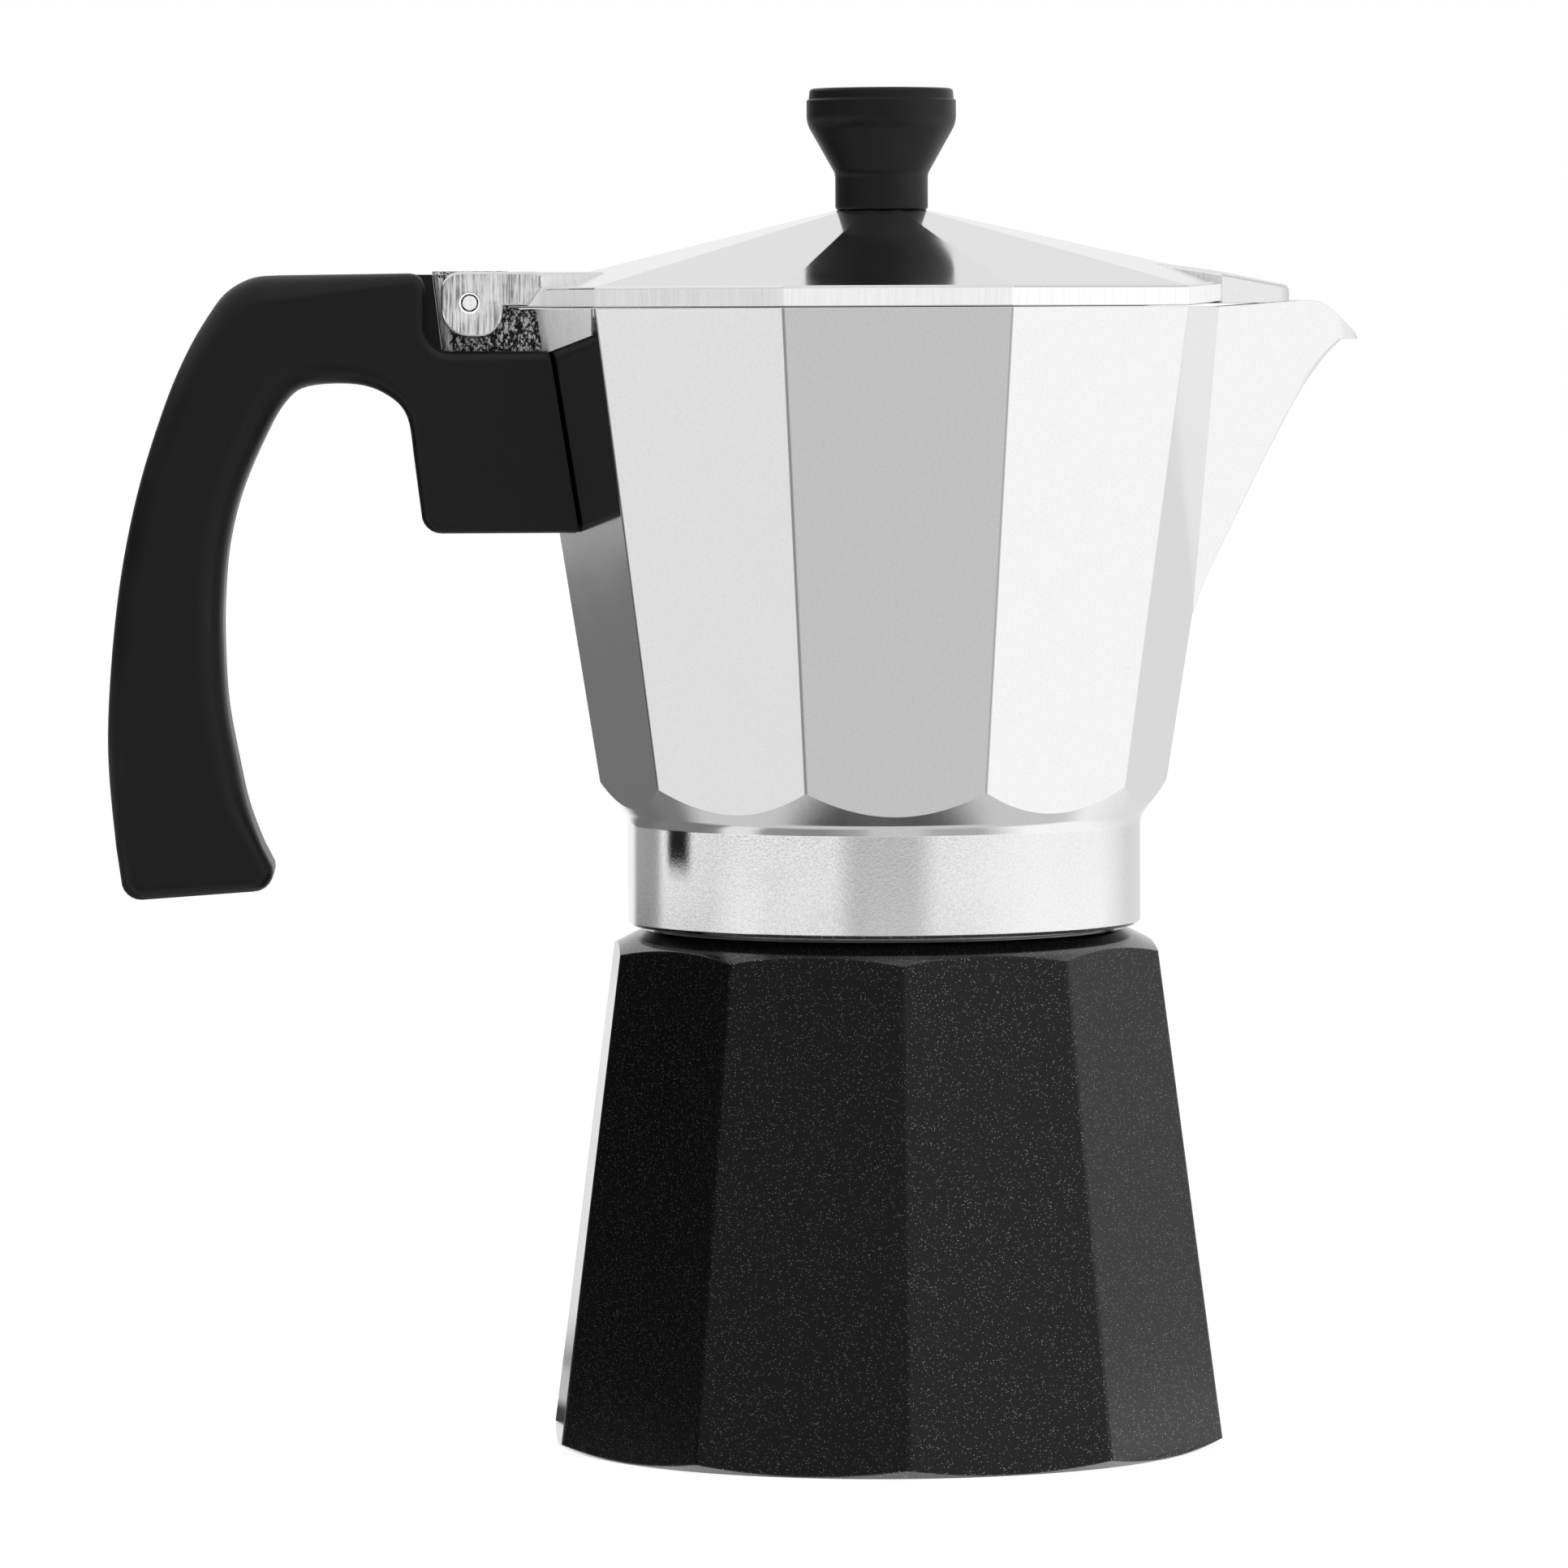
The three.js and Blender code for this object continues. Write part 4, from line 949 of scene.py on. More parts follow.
def spout_channel(sizes, finish):
    """The channel that leads from the chamber to the pouring lip."""
    start = collector_corner(sizes, RIM_HEIGHT - sizes.spout_height)
    back = start - 2 * sizes.wall - OVERRUN
    lowest_share = 0.22
    inset = 0.36
    rings = [
        spout_section(sizes, keel - 3 * MM, height, back, inset)
        for up, keel, height in spout_levels(sizes) if up > lowest_share
    ]
    for height in (LIP_HEIGHT + 1.5 * MM, RIM_HEIGHT + OVERRUN):
        rings.append(spout_section(sizes, sizes.spout_reach - 2.8 * MM, height, back, inset))
    return loft("spout_channel", rings, finish)


def lug_outline(sizes):
    """The outline of the cast block that holds the hinge pin and the handle's screw."""
    foot = RIM_HEIGHT - 13.3 * MM
    top = RIM_HEIGHT + 6 * MM
    nose = 7.8 * MM
    toe = RIM_CORNER + 12 * MM
    start = -math.degrees(math.asin((PIN_Z - RIM_HEIGHT) / nose))
    end = math.degrees(math.asin((top - PIN_Z) / nose))
    back = collector_corner(sizes, foot) - sizes.wall
    return [
        (-back, foot), (-back, RIM_HEIGHT), *arc(PIN_X, PIN_Z, nose, start, end, 12),
        (-LUG_REACH, top), (-toe, foot),
    ]


class MOKA_OT_collector(bpy.types.Operator):
    """Builds the polished upper jug with its collar, spout, lug and coffee chamber"""

    bl_idname = "moka.collector"
    bl_label = "Collector"

    def execute(self, context):
        sizes, finish = context.scene.moka_collector, finishes()
        polished, cast, inner = finish["polished"], finish["cast"], finish["blasted"]
        wide = RIM_CORNER + OVERRUN
        cone = [(sizes.cone_radius, sizes.cone_height), (sizes.foot_corner, sizes.foot_height)]
        lean = math.atan2(cone[1][0] - cone[0][0], cone[1][1] - cone[0][1])
        out = sizes.collar_radius + sizes.fillet * (1 - math.cos(lean))
        bottom = along(out, *cone) - sizes.fillet * math.sin(lean)
        fillet = arc(
            sizes.collar_radius + sizes.fillet, bottom, sizes.fillet, 180,
            180 - math.degrees(lean), 8,
        )
        top = RIM_HEIGHT + OVERRUN
        body = faceted("collector_body", [
            (collector_corner(sizes, bottom), bottom), (RIM_CORNER, RIM_HEIGHT),
        ], 0, sizes.rounding, polished)
        share_of(body, turned("collector_limits", [
            *fillet, (wide, along(wide, *cone)), (wide, top),
        ], polished))
        add(body, turned("collector_collar", [
            (sizes.collar_radius - RIM_EDGE, sizes.collar_foot),
            (sizes.collar_radius, sizes.collar_foot + RIM_EDGE), *fillet,
        ], polished))
        add(body, spout_body(sizes, polished))
        lug = lug_outline(sizes)
        half_lug = 6.6 * MM
        softness = [*[0.6 * MM] * (len(lug) - 2), 1.6 * MM, 1.2 * MM]
        add(body, soft_prism("lug", lug, half_lug, softness, 3, cast))
        add(body, self.lug_root(sizes, cast))
        wall = sizes.wall / FLAT
        floor = sizes.chamber_floor
        low = collector_corner(sizes, floor) - wall
        corner = 6 * MM
        chamber = faceted("chamber", [
            (collector_corner(sizes, height) - wall, height) for height in (floor, top)
        ], 0, INNER_ROUNDING, inner)
        share_of(chamber, turned("chamber_bowl", [
            *arc(low - corner, floor + corner, corner, -90, 0, 8), (wide, top),
        ], inner))
        ceiling = 98.8 * MM
        step = NECK_TOP + 0.5 * MM
        below = sizes.collar_foot - OVERRUN
        gasket_seat = 34.5 * MM
        plate_seat = 26.5 * MM
        column_seat = 6.5 * MM
        vault = ceiling + 2.4 * MM
        screw_foot, screw_tip = RIM_HEIGHT - 18 * MM, 178.9 * MM
        socket = turned("socket", [
            (sizes.socket_radius, below), (sizes.socket_radius, step), (gasket_seat, step),
            (gasket_seat, ceiling), (plate_seat, ceiling), (column_seat, vault),
        ], inner)
        cut(
            body, chamber, spout_channel(sizes, inner), socket,
            post("column_hole", column_seat, ceiling, floor + OVERRUN, 0, inner),
            rod("pin_hole", PIN_HOLE, 12 * MM, PIN_X, PIN_Z, inner),
            post("screw_hole", SCREW_HOLE, screw_foot, screw_tip, SCREW_X, inner),
        )
        join_mesh(body, thread("collector_thread", sizes.socket_radius, 1, 1.5 * MM, inner))
        lug_end = -RIM_CORNER - 10 * MM
        lug_side = half_lug + 0.1 * MM
        pads_foot = RIM_HEIGHT - 8.5 * MM
        paint(body, finish["turned"], lambda face: (
            face.center.z < bottom and face.center.xy.length > sizes.socket_radius + MM
        ))
        paint(body, finish["brushed"], lambda face: (
            face.center.x < lug_end and face.normal.x < -0.2
        ))
        paint(body, finish["ground"], lambda face: (
            -RIM_CORNER - MM < face.center.x < -RIM_CORNER * 0.8
            and face.center.z > pads_foot and abs(face.center.y) > lug_side
        ))
        place(body, "upper", "collector")
        return {"FINISHED"}

    def lug_root(self, sizes, finish):
        """The ground pads on both sides of the lug, above the handle."""
        pad = 0.12 * MM
        foot = RIM_HEIGHT - 12.5 * MM
        root = faceted("lug_root", [
            (collector_corner(sizes, foot) + pad, foot), (RIM_CORNER + pad, RIM_HEIGHT),
        ], 0, sizes.rounding, finish)
        outer = -RIM_CORNER - OVERRUN
        inner = -0.5 * MM - RIM_CORNER * math.cos(2 * HALF_FACE)
        return share_of(root, prism("lug_root_limits", [
            (outer, RIM_HEIGHT - 9.8 * MM), (-RIM_CORNER, RIM_HEIGHT - 8.4 * MM),
            (inner, RIM_HEIGHT - 4.2 * MM), (inner, RIM_HEIGHT), (outer, RIM_HEIGHT),
        ], 40 * MM, finish))


class MOKA_OT_lid(bpy.types.Operator):
    """Builds the lid: ten sloping faces, a rim band, a beak over the spout and two ears"""

    bl_idname = "moka.lid"
    bl_label = "Lid"

    def lifted(self, corner, height, rounding, lift):
        """A ring that rises towards its corner over the spout."""
        ring = facet_ring(corner, height, 0, rounding)
        neighbour = corner * math.sin(2 * HALF_FACE)
        for point in ring:
            if point.x > 0:
                point.z += lift * max(0, 1 - abs(point.y) / neighbour)
        return ring

    def execute(self, context):
        sizes, finish = context.scene.moka_lid, finishes()
        polished, inner_finish = finish["polished"], finish["blasted"]
        foot = RIM_HEIGHT + 0.14 * MM
        rim = LID_SEAM + sizes.rim_height
        apex = rim + sizes.rise
        slope = [(RIM_CORNER, rim), (sizes.apex_radius, apex)]
        edge = sizes.edge
        levels = [(corner, height, sizes.lift) for corner, height in (
            (RIM_CORNER - edge / 2, foot), (RIM_CORNER, foot + edge / 2),
            (RIM_CORNER, rim - edge), (RIM_CORNER - edge / 4, rim - edge / 3),
        )]
        steps = 8
        inner_edge = RIM_CORNER - edge
        for i in range(steps + 1):
            corner = inner_edge + (sizes.apex_radius - inner_edge) * i / steps
            levels.append((corner, along(corner, *slope), sizes.lift * (1 - i / steps)))
        seat_share = 0.4
        rings = []
        for corner, height, lift in levels:
            rounding_share = seat_share + (1 - seat_share) * corner / RIM_CORNER
            rings.append(self.lifted(corner, height, sizes.rounding * rounding_share, lift))
        body = loft("lid_body", rings, polished)
        add(body, self.beak(sizes, rim, foot, polished), self.ears(foot, polished))
        inner = RIM_CORNER - 2.7 * MM
        hollow = loft("lid_hollow", [
            self.lifted(inner, foot - OVERRUN, MM, sizes.lift),
            self.lifted(inner, along(inner, *slope) - sizes.sheet, MM, sizes.lift),
            self.lifted(sizes.apex_radius, apex - sizes.sheet, MM, 0),
        ], inner_finish)
        cut(
            body, hollow, rod("ear_hole", PIN_HOLE, 15 * MM, PIN_X, PIN_Z, inner_finish),
            post("knob_hole", PIN_HOLE, foot, apex + OVERRUN, 0, inner_finish),
        )
        ear_side = 10.2 * MM
        ear_front = PIN_X + 12 * MM
        beak_root = 40 * MM
        ridge_side = 4 * MM
        paint(body, finish["ground"], lambda face: (
            abs(face.normal.z) < 0.2 and abs(face.center.x) < RIM_CORNER * 0.95
            and face.center.z > foot and face.center.xy.length > RIM_CORNER * 0.94
        ))
        paint(body, finish["brushed"], lambda face: (
            abs(face.normal.y) > 0.98 and abs(face.center.y) > ear_side
            and face.center.x < ear_front
        ))
        paint(body, finish["ground"], lambda face: (
            face.center.x > beak_root and face.normal.x < -0.3 and abs(face.normal.z) < 0.5
            and abs(face.center.y) > ridge_side
        ))
        place(body, "cover", "lid", crease=12)
        return {"FINISHED"}

    def beak(self, sizes, rim, foot, finish):
        """The wedge that covers the spout, with a low ridge along its middle."""
        root = 43.1 * MM
        tip = 64.3 * MM
        widest = 12.9 * MM
        line = [(root, rim + 3.6 * MM), (tip, rim - 0.1 * MM)]
        edge = 0.4 * MM
        low_share = 0.4
        crest = 0.55 * MM
        low = foot + sizes.lift * low_share
        rings = []
        for x, half in (
            (root, 5 * MM), (53 * MM, widest), (62.8 * MM, 6.4 * MM), (tip - edge, 5.9 * MM),
            (tip, 5.2 * MM),
        ):
            top = along(x, *line) - edge * (x == tip)
            profile = [(half, top - edge), (half - edge / 3, top - edge / 3), (half - edge, top)]
            ridge = (0, top + crest * half / widest)
            left = [(-y, z) for y, z in profile]
            section = [(-half, low), *left, ridge, *reversed(profile), (half, low)]
            rings.append([(x, y, z) for y, z in section])
        return loft("beak", rings, finish)

    def ears(self, foot, finish):
        """The bridge and the two ears that turn on the hinge pin."""
        top = RIM_HEIGHT + 5.9 * MM
        low = PIN_Z - 5.4 * MM
        rear = PIN_X - 4.5 * MM
        edge = 0.4 * MM
        outline = rounded([
            (PIN_X + 9.2 * MM, LID_SEAM, 0), (PIN_X + 11.5 * MM, top - 2.4 * MM, 1.2 * MM),
            (PIN_X + 11.4 * MM, top, 1.2 * MM), (rear, top, 3 * MM), (rear, low, 4.4 * MM),
            (PIN_X + 4.7 * MM, low, 3.6 * MM), (PIN_X + 5.3 * MM, LID_SEAM, 0),
        ])
        ears = soft_prism("ears", outline, 10.3 * MM, [edge] * len(outline), 3, finish)
        ends = (12.6 * MM - RIM_CORNER, PIN_X + 6 * MM)
        ridge = top - 0.1 * MM
        bridge = [(ends[0], foot), (ends[0], ridge), (ends[1], ridge), (ends[1], foot)]
        add(ears, soft_prism("bridge", bridge, 9.8 * MM, [edge] * 4, 3, finish))
        half_slot = 7 * MM
        return cut(ears, block(
            "ear_slot", (-80 * MM, -half_slot, foot - 12 * MM),
            (-RIM_CORNER, half_slot, top + OVERRUN), finish,
        ))


class MOKA_OT_knob(bpy.types.Operator):
    """Builds the black knob with its moulded parting line"""

    bl_idname = "moka.knob"
    bl_label = "Knob"

    def execute(self, context):
        sizes, finish = context.scene.moka_knob, finishes()
        parting = KNOB_TOP - sizes.crown_height
        foot = KNOB_FOOT - 0.28 * MM
        waist = KNOB_FOOT + sizes.neck_height + 0.4 * MM
        groove = 0.12 * MM
        crown = sizes.radius - 0.35 * MM
        bore = 3.2 * MM
        roof = KNOB_FOOT + 9 * MM
        body = turned("knob_body", rounded([
            (bore, roof, 0), (bore, foot, 0), (sizes.neck_radius, foot, 0.5 * MM),
            (sizes.neck_radius, waist, 2.5 * MM), (sizes.radius, waist + 8 * MM, 4.5 * MM),
            (sizes.radius, parting - groove, 0), (sizes.radius - groove, parting, 0),
            (crown, parting + groove, 0), (crown - 0.15 * MM, KNOB_TOP, 0.6 * MM),
            (0, KNOB_TOP, 0),
        ]), finish["plastic"])
        place(body, "cover", "knob")
        return {"FINISHED"}


# Points of the grip's outer and inner line, as shares of the reach and of the height.
GRIP_OUTER_SHARES = (
    (0.444, 0.998), (0.53, 0.994), (0.609, 0.973), (0.666, 0.938), (0.738, 0.877), (0.81, 0.794),
    (0.891, 0.669), (0.946, 0.545), (0.98, 0.42), (0.999, 0.285), (0.996, 0.19), (0.975, 0.085),
)
GRIP_INNER_SHARES = (
    (0.51, 0.084), (0.555, 0.147), (0.59, 0.23), (0.619, 0.315), (0.629, 0.41), (0.627, 0.482),
    (0.612, 0.565), (0.572, 0.648), (0.503, 0.731), (0.434, 0.793), (0.357, 0.82), (0.201, 0.823),
    (0.1, 0.804), (0.043, 0.771), (0.023, 0.708),
)


class MOKA_OT_handle(bpy.types.Operator):
    """Builds the hooked handle with its soft edges and the slot for the lug"""

    bl_idname = "moka.handle"
    bl_label = "Handle"

    def execute(self, context):
        sizes, jug = context.scene.moka_handle, context.scene.moka_collector
        plastic = finishes()["plastic"]
        low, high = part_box("handle")
        reach = -low.x
        top = high.z
        tip = top - sizes.height
        notch = RIM_CORNER + 15.4 * MM
        block_reach = notch + 0.8 * MM
        notch_floor = top - 12.3 * MM
        block_foot = top - 41 * MM
        back = collector_corner(jug, block_foot) - sizes.half_width

        def at(out, up):
            return (-block_reach - (reach - block_reach) * out, top - sizes.height * (1 - up))

        outer = curve_through([at(*pair) for pair in GRIP_OUTER_SHARES], 5)
        inner = curve_through([at(*pair) for pair in GRIP_INNER_SHARES], 5)
        end = 3.2 * MM
        heel = at(0.476, 0)[0]
        toe = at(0.96, 0)[0]
        shoulder = 2.4 * MM
        hollow = 4 * MM
        outline = [
            *arc(-notch - shoulder, top - shoulder, shoulder, 0, 90, 5), *outer,
            *arc(toe + end, tip + end, end, -180, -90, 6),
            *arc(heel - end, tip + 1.2 * MM + end, end, -90, 13, 6),
            *inner,
            *arc(end - block_reach, block_foot + end, end, -180, -90, 6),
            (-back, block_foot), (-back, notch_floor),
            *arc(hollow - notch, notch_floor + hollow, hollow, -90, -180, 6),
        ]
        tip_softness = 2.4 * MM
        block_softness = 1.7 * MM
        tip_top = tip + 9 * MM
        fade_reach = 16 * MM
        fade_height = 12 * MM
        least_fade = 0.3
        softness = []
        for x, z in outline:
            if z < tip_top:
                softness.append(tip_softness)
                continue
            fade = min(
                1, max(0, (-block_reach - x) / fade_reach), (z - tip_top) / fade_height + least_fade
            )
            softness.append(block_softness + (sizes.softness - block_softness) * fade)
        body = soft_prism("handle_body", outline, sizes.half_width, softness, 8, plastic)
        stop_back = -notch - shoulder - MM
        stop_foot = notch_floor - MM
        stop_top = top - 0.2 * MM
        add(body, prism("lug_stop", [
            (stop_back, stop_foot), (3 * MM - LUG_REACH, stop_foot),
            (0.6 * MM - LUG_REACH, stop_top), (stop_back, stop_top),
        ], 6.2 * MM, plastic))
        fit = 0.4 * MM / FLAT
        snug = 0.05 * MM
        below = block_foot - OVERRUN
        pot = faceted("pot_side", [
            (collector_corner(jug, height) + fit, height) for height in (below, top + MM)
        ], 0, jug.rounding, plastic)
        lug = lug_outline(jug)
        pocket = prism("lug_pocket", [
            (x - normal.x * snug, z - normal.y * snug)
            for (x, z), normal in zip(lug, inward_normals(lug))
        ], 7 * MM, plastic)
        drill = post("screw_way", SCREW_HOLE, below, RIM_HEIGHT - 9 * MM, SCREW_X, plastic)
        seat = post("head_way", 4.5 * MM, below, 156 * MM, SCREW_X, plastic)
        cut(body, pot, pocket, drill, seat)
        place(body, "upper", "handle", crease=25)
        return {"FINISHED"}


def valve_place(scene):
    """The place of the safety valve: zero on the boiler's face, plus pointing out of it."""
    boiler = scene.moka_boiler
    valve = scene.moka_valve
    azimuth = boiler.turn + 2 * HALF_FACE * valve.face
    flare = boiler.foot_corner - boiler.top_corner
    lean = math.atan2(flare * FLAT, boiler.side_height)
    radius = FLAT * (boiler.foot_corner - flare * valve.height / boiler.side_height)
    spot = Vector((radius * math.cos(azimuth), radius * math.sin(azimuth), valve.height))
    turn = Matrix.Rotation(azimuth, 4, "Z") @ Matrix.Rotation(math.pi / 2 - lean, 4, "Y")
    return Matrix.Translation(spot) @ turn


class MOKA_OT_valve(bpy.types.Operator):
    """Builds the brass safety valve and the hinge pin"""

    bl_idname = "moka.valve"
    bl_label = "Safety valve and hinge pin"

    def execute(self, context):
        finish = finishes()
        brass = finish["brass"]
        radius = context.scene.moka_valve.hex_radius
        low, high = 1.4 * MM, 5.4 * MM
        hexagon = [circle(radius, z, 6) for z in (low, high)]
        edge = 0.6 * MM
        inner = radius * math.cos(math.pi / 6)
        body = share_of(loft("valve_body_shape", hexagon, brass), turned("valve_limits", [
            (inner, 0), (radius, low + edge), (radius, high - edge), (inner - edge / 2, high),
        ], brass, steps=VALVE_STEPS))
        for name, *profile in (
            ("valve_boss", (5.2, 5.1), (5.2, 7.2), (4.8, 7.6)),
            ("valve_shank", (3.8, -7), (4.2, -6.6), (4.2, 1.7)),
        ):
            add(body, turned(name, millimetres(profile), brass, steps=VALVE_STEPS))
        bore = millimetres([(2.9, -4.6), (2.9, 9)])
        cut(
            body, turned("valve_bore", bore, brass, steps=VALVE_STEPS),
            post("valve_seat", 1.3 * MM, -9 * MM, -4.3 * MM, 0, brass),
        )
        cap = tube("valve_cap_ring", millimetres([
            (1.3, 5.9), (2.6, 5.9), (2.6, 7.15), (2.45, 7.3), (1.45, 7.3), (1.3, 7.15),
        ]), brass)
        plunger = turned("valve_pin", [
            *millimetres([(1.3, -4.3), (2.5, -3.7), (2.5, -3.1), (0.9, -3.1)]),
            *arc(0.4 * MM, 8.2 * MM, 0.5 * MM, 0, 90, 5),
        ], finish["steel"], steps=SMALL_STEPS)
        for piece in (body, cap, plunger):
            piece.data.transform(valve_place(context.scene))
        place(body, "base", "valve_body")
        place(cap, "base", "valve_cap")
        place(plunger, "relief_pin", "valve_plunger")
        pin = rod("pin", PIN_HIGH.x - PIN_X, PIN_HIGH.y, PIN_X, PIN_Z, finish["steel"])
        paint(pin, finish["ground"], lambda face: abs(face.normal.y) > 0.9)
        paint(pin, finish["cast"], lambda face: 0.2 < abs(face.normal.y) < 0.9)
        place(pin, "upper", "hinge_pin")
        return {"FINISHED"}


INNER_FINISHES = {
    "funnel": "spun", "funnel_screen": "spun", "filter_plate": "spun", "gasket": "rubber",
    "column": "blasted", "handle_screw": "steel", "handle_washer": "steel", "knob_insert": "brass",
    "knob_washer": "steel", "knob_screw": "steel", "valve_washer": "rubber", "valve_nut": "brass",
}


class MOKA_OT_inside(bpy.types.Operator):
    """Gives the pieces inside the pot their finishes"""

    bl_idname = "moka.inside"
    bl_label = "Inner pieces"

    def execute(self, context):
        finish = finishes()
        for node, name in INNER_FINISHES.items():
            materials = frame["nodes"][node].data.materials
            materials.clear()
            materials.append(finish[name])
        self.spring(finish)
        return {"FINISHED"}

    def spring(self, finish):
        """The valve's coil: a copy of its mesh in steel, in its node's place on the base."""
        joints = frame["record"]["behaviour"]["joints"]
        release = next(joint for joint in joints if joint["name"] == "valve_release")
        out = Vector(release["axis"])
        mesh = frame["nodes"]["valve_spring"].data.copy()
        mesh.materials.clear()
        coil = add_object("spring_coil", mesh, finish["steel"])
        inner, outer = (pick(mesh.vertices, key=lambda corner: corner.co.dot(out)).co
                        for pick in (min, max))
        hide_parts("valve_spring")
        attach(coil, "base")
        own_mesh(coil)


# ---- Stage ----


LIGHT_AIM = (0, 0, 0.1)
SENSOR_WIDTH = 36
CLIP_END = 100
# Levels of the painted shade ring and of the painted shadow at the pot's foot, seen only in
# reflections.
SHADE_RING_LEVEL = 0.6
FOOT_SHADOW_LEVEL = 0.06
FLOOR_HALF = 12.0
FLOOR_GLOW = 1.14
FLOOR_GLOW_SHARE = 0.82
TENT_GLOW = 1.08
TENT_STEPS = 96
# The tent's radius and height, from its foot under the pot to its top.
TENT_PROFILE = (
    (0.058, 0.0006), (0.09, 0.001), (0.5, 0.002), (1.9, 0.006), (1.98, 0.02), (2, 0.06),
    (2, 1), (1.9, 2), (1.5, 2.8), (0.7, 3.3), (0.001, 3.4),
)
# The tent's levels by direction in degrees: three zones of its floor, its lower and upper wall.
TENT_LEVELS = {
    "near": (
        (-180, 0.2), (-171, 0.25), (-166, 0.8), (-152, 0.8), (-146, 0.3), (-120, 0.25),
        (-102, 0.4), (-97, 0.58), (-78, 0.58), (-70, 0.42), (-50, 0.42), (-38, 0.8), (-28, 1.0),
        (8, 1.0), (30, 0.85), (46, 0.75), (70, 0.73), (90, 1.0), (108, 0.9), (120, 0.17),
        (136, 0.16), (148, 0.2), (180, 0.2),
    ),
    "between": (
        (-180, 0.4), (-172, 0.6), (-160, 0.9), (-114, 0.95), (-105, 0.66), (-79, 0.66),
        (-66, 1.0), (20, 1.0), (45, 0.72), (70, 0.72), (95, 1.0), (115, 0.9), (121, 0.17),
        (137, 0.17), (146, 0.4), (180, 0.4),
    ),
    "low": (
        (-180, 1.0), (-160, 1.0), (-114, 1.0), (-107, 0.58), (-78, 0.58), (-70, 1.0), (20, 1.0),
        (45, 0.72), (70, 0.72), (95, 0.9), (115, 0.9), (121, 0.36), (146, 0.36), (151, 1.0),
        (180, 1.0),
    ),
    "middle": (
        (-180, 0.03), (-150, 0.08), (-121, 0.26), (-92, 0.26), (-58, 0.4), (-44, 0.58),
        (-20, 0.9), (0, 0.75), (22, 0.6), (60, 0.75), (90, 0.87), (112, 0.6), (121, 0.18),
        (136, 0.12), (145, 0.02), (180, 0.02),
    ),
    "high": (
        (-180, 0.85), (-140, 0.62), (-92, 0.75), (-50, 0.95), (-5, 0.6), (40, 0.8), (75, 0.775),
        (100, 0.775), (130, 0.95), (155, 0.6), (180, 0.85),
    ),
}


# Where the tent's zones pass into each other: by the distance from the axis on its floor, and by
# the height for its walls. The ring round the pot's foot is a grey painted shade and the foot zone
# a nearly black painted shadow, both seen only in reflections, each with a level of its own.
TENT_EDGES = {
    "between": (0.76, 0.86), "low": (1.12, 1.2), "ring": (0.11, 0.14), "foot": (0.068, 0.08),
    "middle": (0.03, 0.045), "high": (0.7, 1.0),
}


def fresh_nodes(owner):
    """The emptied node tree of a material or a world."""
    owner.use_nodes = True
    owner.node_tree.nodes.clear()
    return Nodes(owner.node_tree)


def show_white(nodes, plain):
    """White for the camera and in reflections, and a plain level for the rest."""
    path = nodes.add("ShaderNodeLightPath")
    seen = path.outputs["Is Camera Ray"]
    for name in ("Is Glossy Ray", "Is Transmission Ray"):
        seen = nodes.math("MAXIMUM", seen, path.outputs[name])
    return nodes.spread(seen, 0, 1, plain, 1)


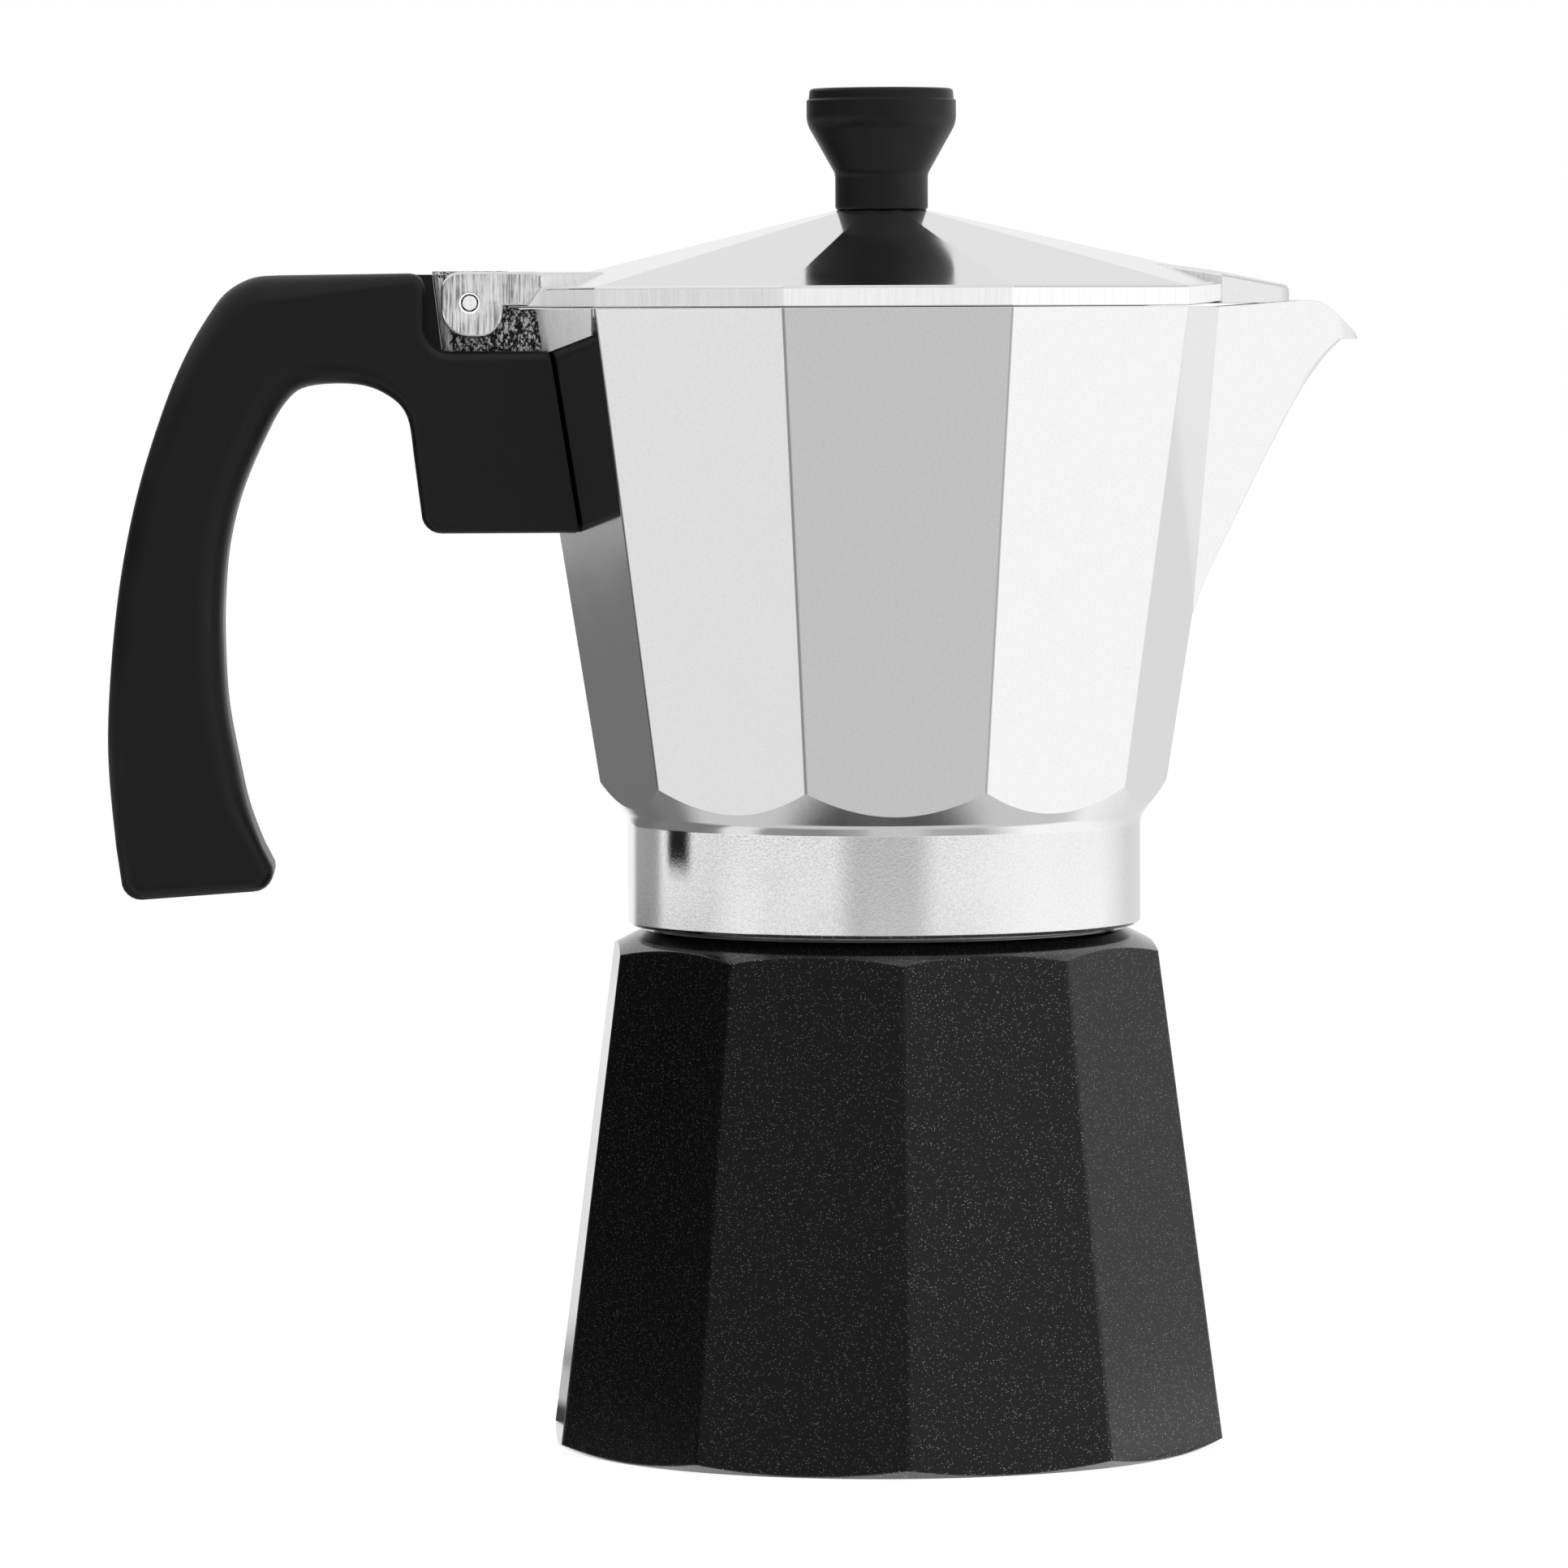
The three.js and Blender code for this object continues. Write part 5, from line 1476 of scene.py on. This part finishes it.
class MOKA_OT_stage(bpy.types.Operator):
    """Builds the floor, the soft lights, the reflection screen and the camera"""

    bl_idname = "moka.stage"
    bl_label = "Studio"

    def execute(self, context):
        scene = context.scene
        sizes = scene.moka_stage
        scene.view_settings.view_transform = "Standard"
        self.world(scene, sizes)
        self.floor(sizes)
        self.screen()
        self.lights()
        self.camera(scene, sizes)
        return {"FINISHED"}

    def world(self, scene, sizes):
        scene.world = bpy.data.worlds.new("studio")
        nodes = fresh_nodes(scene.world)
        background = nodes.add(
            "ShaderNodeBackground", Color=grey(1.0), Strength=show_white(nodes, sizes.daylight)
        )
        nodes.add("ShaderNodeOutputWorld", Surface=background.outputs[0])

    def floor(self, sizes):
        """The white paper. It glows for the camera and in reflections, so that it stays white."""
        corners = [(x * FLOOR_HALF, y * FLOOR_HALF, 0) for x, y in (
            (-1, -1), (1, -1), (1, 1), (-1, 1),
        )]
        mesh = bpy.data.meshes.new("floor")
        mesh.from_pydata(corners, [], [(0, 1, 2, 3)])
        material = bpy.data.materials.new("white paper")
        nodes = fresh_nodes(material)
        paper = nodes.add("ShaderNodeBsdfDiffuse", Color=(*sizes.paper, 1))
        glow = nodes.add("ShaderNodeEmission", Strength=FLOOR_GLOW)
        share_seen = nodes.math("MULTIPLY", show_white(nodes, 0.0), FLOOR_GLOW_SHARE)
        both = nodes.add("ShaderNodeMixShader", Fac=share_seen)
        nodes.feed(both.inputs[1], paper.outputs[0])
        nodes.feed(both.inputs[2], glow.outputs[0])
        nodes.add("ShaderNodeOutputMaterial", Surface=both.outputs[0])
        add_object("floor", mesh, material)

    def screen(self):
        """A tent round the pot that only reflections see, paler and darker by direction."""
        points = [point for radius, z in TENT_PROFILE for point in circle(radius, z, TENT_STEPS)]
        mesh = bpy.data.meshes.new("reflection_tent")
        mesh.from_pydata(points, [], bands(numbered(len(TENT_PROFILE), TENT_STEPS)))
        material = bpy.data.materials.new("tent cloth")
        nodes = fresh_nodes(material)
        glow = nodes.add("ShaderNodeEmission", Color=self.tent_tone(nodes), Strength=TENT_GLOW)
        nodes.add("ShaderNodeOutputMaterial", Surface=glow.outputs[0])
        tent = add_object("reflection_tent", mesh, material)
        tent.visible_camera = False
        tent.visible_diffuse = False
        tent.visible_shadow = False
        tent.visible_transmission = False
        tent.visible_volume_scatter = False

    def tent_tone(self, nodes):
        """The tent's levels by direction, blended by the distance on its floor and by height."""
        spot = nodes.add("ShaderNodeTexCoord").outputs["Object"]
        x, y, height = nodes.add("ShaderNodeSeparateXYZ", Vector=spot).outputs
        turn = nodes.math("ARCTAN2", y, x)
        round_share = nodes.math("MULTIPLY_ADD", turn, 1 / (2 * math.pi), 0.5)
        squares = nodes.math("ADD", nodes.math("MULTIPLY", x, x), nodes.math("MULTIPLY", y, y))
        away = nodes.math("SQRT", squares)

        def levels(name):
            """The named row of levels, by the direction seen from the pot's axis."""
            ramp = nodes.add("ShaderNodeValToRGB", Fac=round_share)
            elements = ramp.color_ramp.elements
            first, *inner, last = TENT_LEVELS[name]
            elements[0].color = grey(first[1])
            elements[1].color = grey(last[1])
            for degrees, level in inner:
                elements.new((degrees + 180) / 360).color = grey(level)
            return ramp.outputs["Color"]

        def blend(value, edge, first, second):
            """One tone on the lower side of an edge and another on its upper side."""
            factor = nodes.spread(value, *TENT_EDGES[edge])
            factor.node.interpolation_type = "SMOOTHSTEP"
            return nodes.mix(factor, first, second)

        tone = blend(away, "between", levels("near"), levels("between"))
        tone = blend(away, "low", tone, levels("low"))
        # Painted shade and painted shadow round the pot's foot, for reflections only.
        tone = blend(away, "ring", grey(SHADE_RING_LEVEL), tone)
        tone = blend(away, "foot", grey(FOOT_SHADOW_LEVEL), tone)
        tone = blend(height, "middle", tone, levels("middle"))
        return blend(height, "high", tone, levels("high"))

    def lights(self):
        """Two soft lights that reflections don't show."""
        for name, spot, size, power in (
            ("key_light", (0.9, -0.7, 1.1), 0.9, 9.0),
            ("top_light", (-0.2, 0.3, 1.4), 1.2, 8.0),
        ):
            light = bpy.data.lights.new(name, "AREA")
            light.shape = "DISK"
            light.size = size
            light.energy = power
            lamp = bpy.data.objects.new(name, light)
            lamp.location = spot
            aim = Vector(LIGHT_AIM) - lamp.location
            lamp.rotation_euler = aim.to_track_quat("-Z", "Y").to_euler()
            lamp.visible_glossy = False
            bpy.context.scene.collection.objects.link(lamp)

    def camera(self, scene, sizes):
        """The camera, by its angles round the point that it looks at."""
        swing, tilt, roll = sizes.swing, sizes.tilt, sizes.roll
        right = Vector((math.cos(swing), math.sin(swing), 0))
        back = Vector((
            math.sin(swing) * math.cos(tilt), -math.cos(swing) * math.cos(tilt), math.sin(tilt)
        ))
        up = back.cross(right)
        aim = right * sizes.aim_side + Vector((0, 0, sizes.aim_height))
        leaning = right * math.cos(roll) + up * math.sin(roll)
        upright = up * math.cos(roll) - right * math.sin(roll)
        data = bpy.data.cameras.new("camera")
        data.sensor_width = SENSOR_WIDTH
        data.lens = sizes.lens
        data.clip_end = CLIP_END
        camera = bpy.data.objects.new("camera", data)
        rows = Matrix((leaning, upright, back)).transposed().to_4x4()
        camera.matrix_world = Matrix.Translation(aim + back * sizes.distance) @ rows
        scene.collection.objects.link(camera)
        scene.camera = camera


# ---- Sidebar and registration ----


OPERATORS = (
    MOKA_OT_boiler, MOKA_OT_collector, MOKA_OT_lid, MOKA_OT_knob, MOKA_OT_handle, MOKA_OT_valve,
    MOKA_OT_inside, MOKA_OT_stage,
)


class MOKA_PT_sidebar(bpy.types.Panel):
    bl_idname = "MOKA_PT_sidebar"
    bl_label = "Moka pot"
    bl_space_type = "VIEW_3D"
    bl_region_type = "UI"
    bl_category = "Moka pot"

    def draw(self, context):
        for operator in OPERATORS:
            self.layout.operator(operator.bl_idname)


SIZES = {
    "moka_boiler": BoilerSizes,
    "moka_collector": CollectorSizes,
    "moka_lid": LidSizes,
    "moka_knob": KnobSizes,
    "moka_handle": HandleSizes,
    "moka_valve": ValveSizes,
    "moka_stage": StageSizes,
}


def register():
    for group in SIZES.values():
        bpy.utils.register_class(group)
    for name, group in SIZES.items():
        setattr(bpy.types.Scene, name, PointerProperty(type=group))
    for operator in OPERATORS:
        bpy.utils.register_class(operator)
    bpy.utils.register_class(MOKA_PT_sidebar)


def unregister():
    bpy.utils.unregister_class(MOKA_PT_sidebar)
    for operator in reversed(OPERATORS):
        bpy.utils.unregister_class(operator)
    for name, group in SIZES.items():
        delattr(bpy.types.Scene, name)
        bpy.utils.unregister_class(group)


def main():
    register()
    bpy.ops.moka.boiler()
    bpy.ops.moka.collector()
    bpy.ops.moka.lid()
    bpy.ops.moka.knob()
    bpy.ops.moka.handle()
    bpy.ops.moka.valve()
    bpy.ops.moka.inside()
    bpy.ops.moka.stage()


if __name__ == "__main__":
    main()
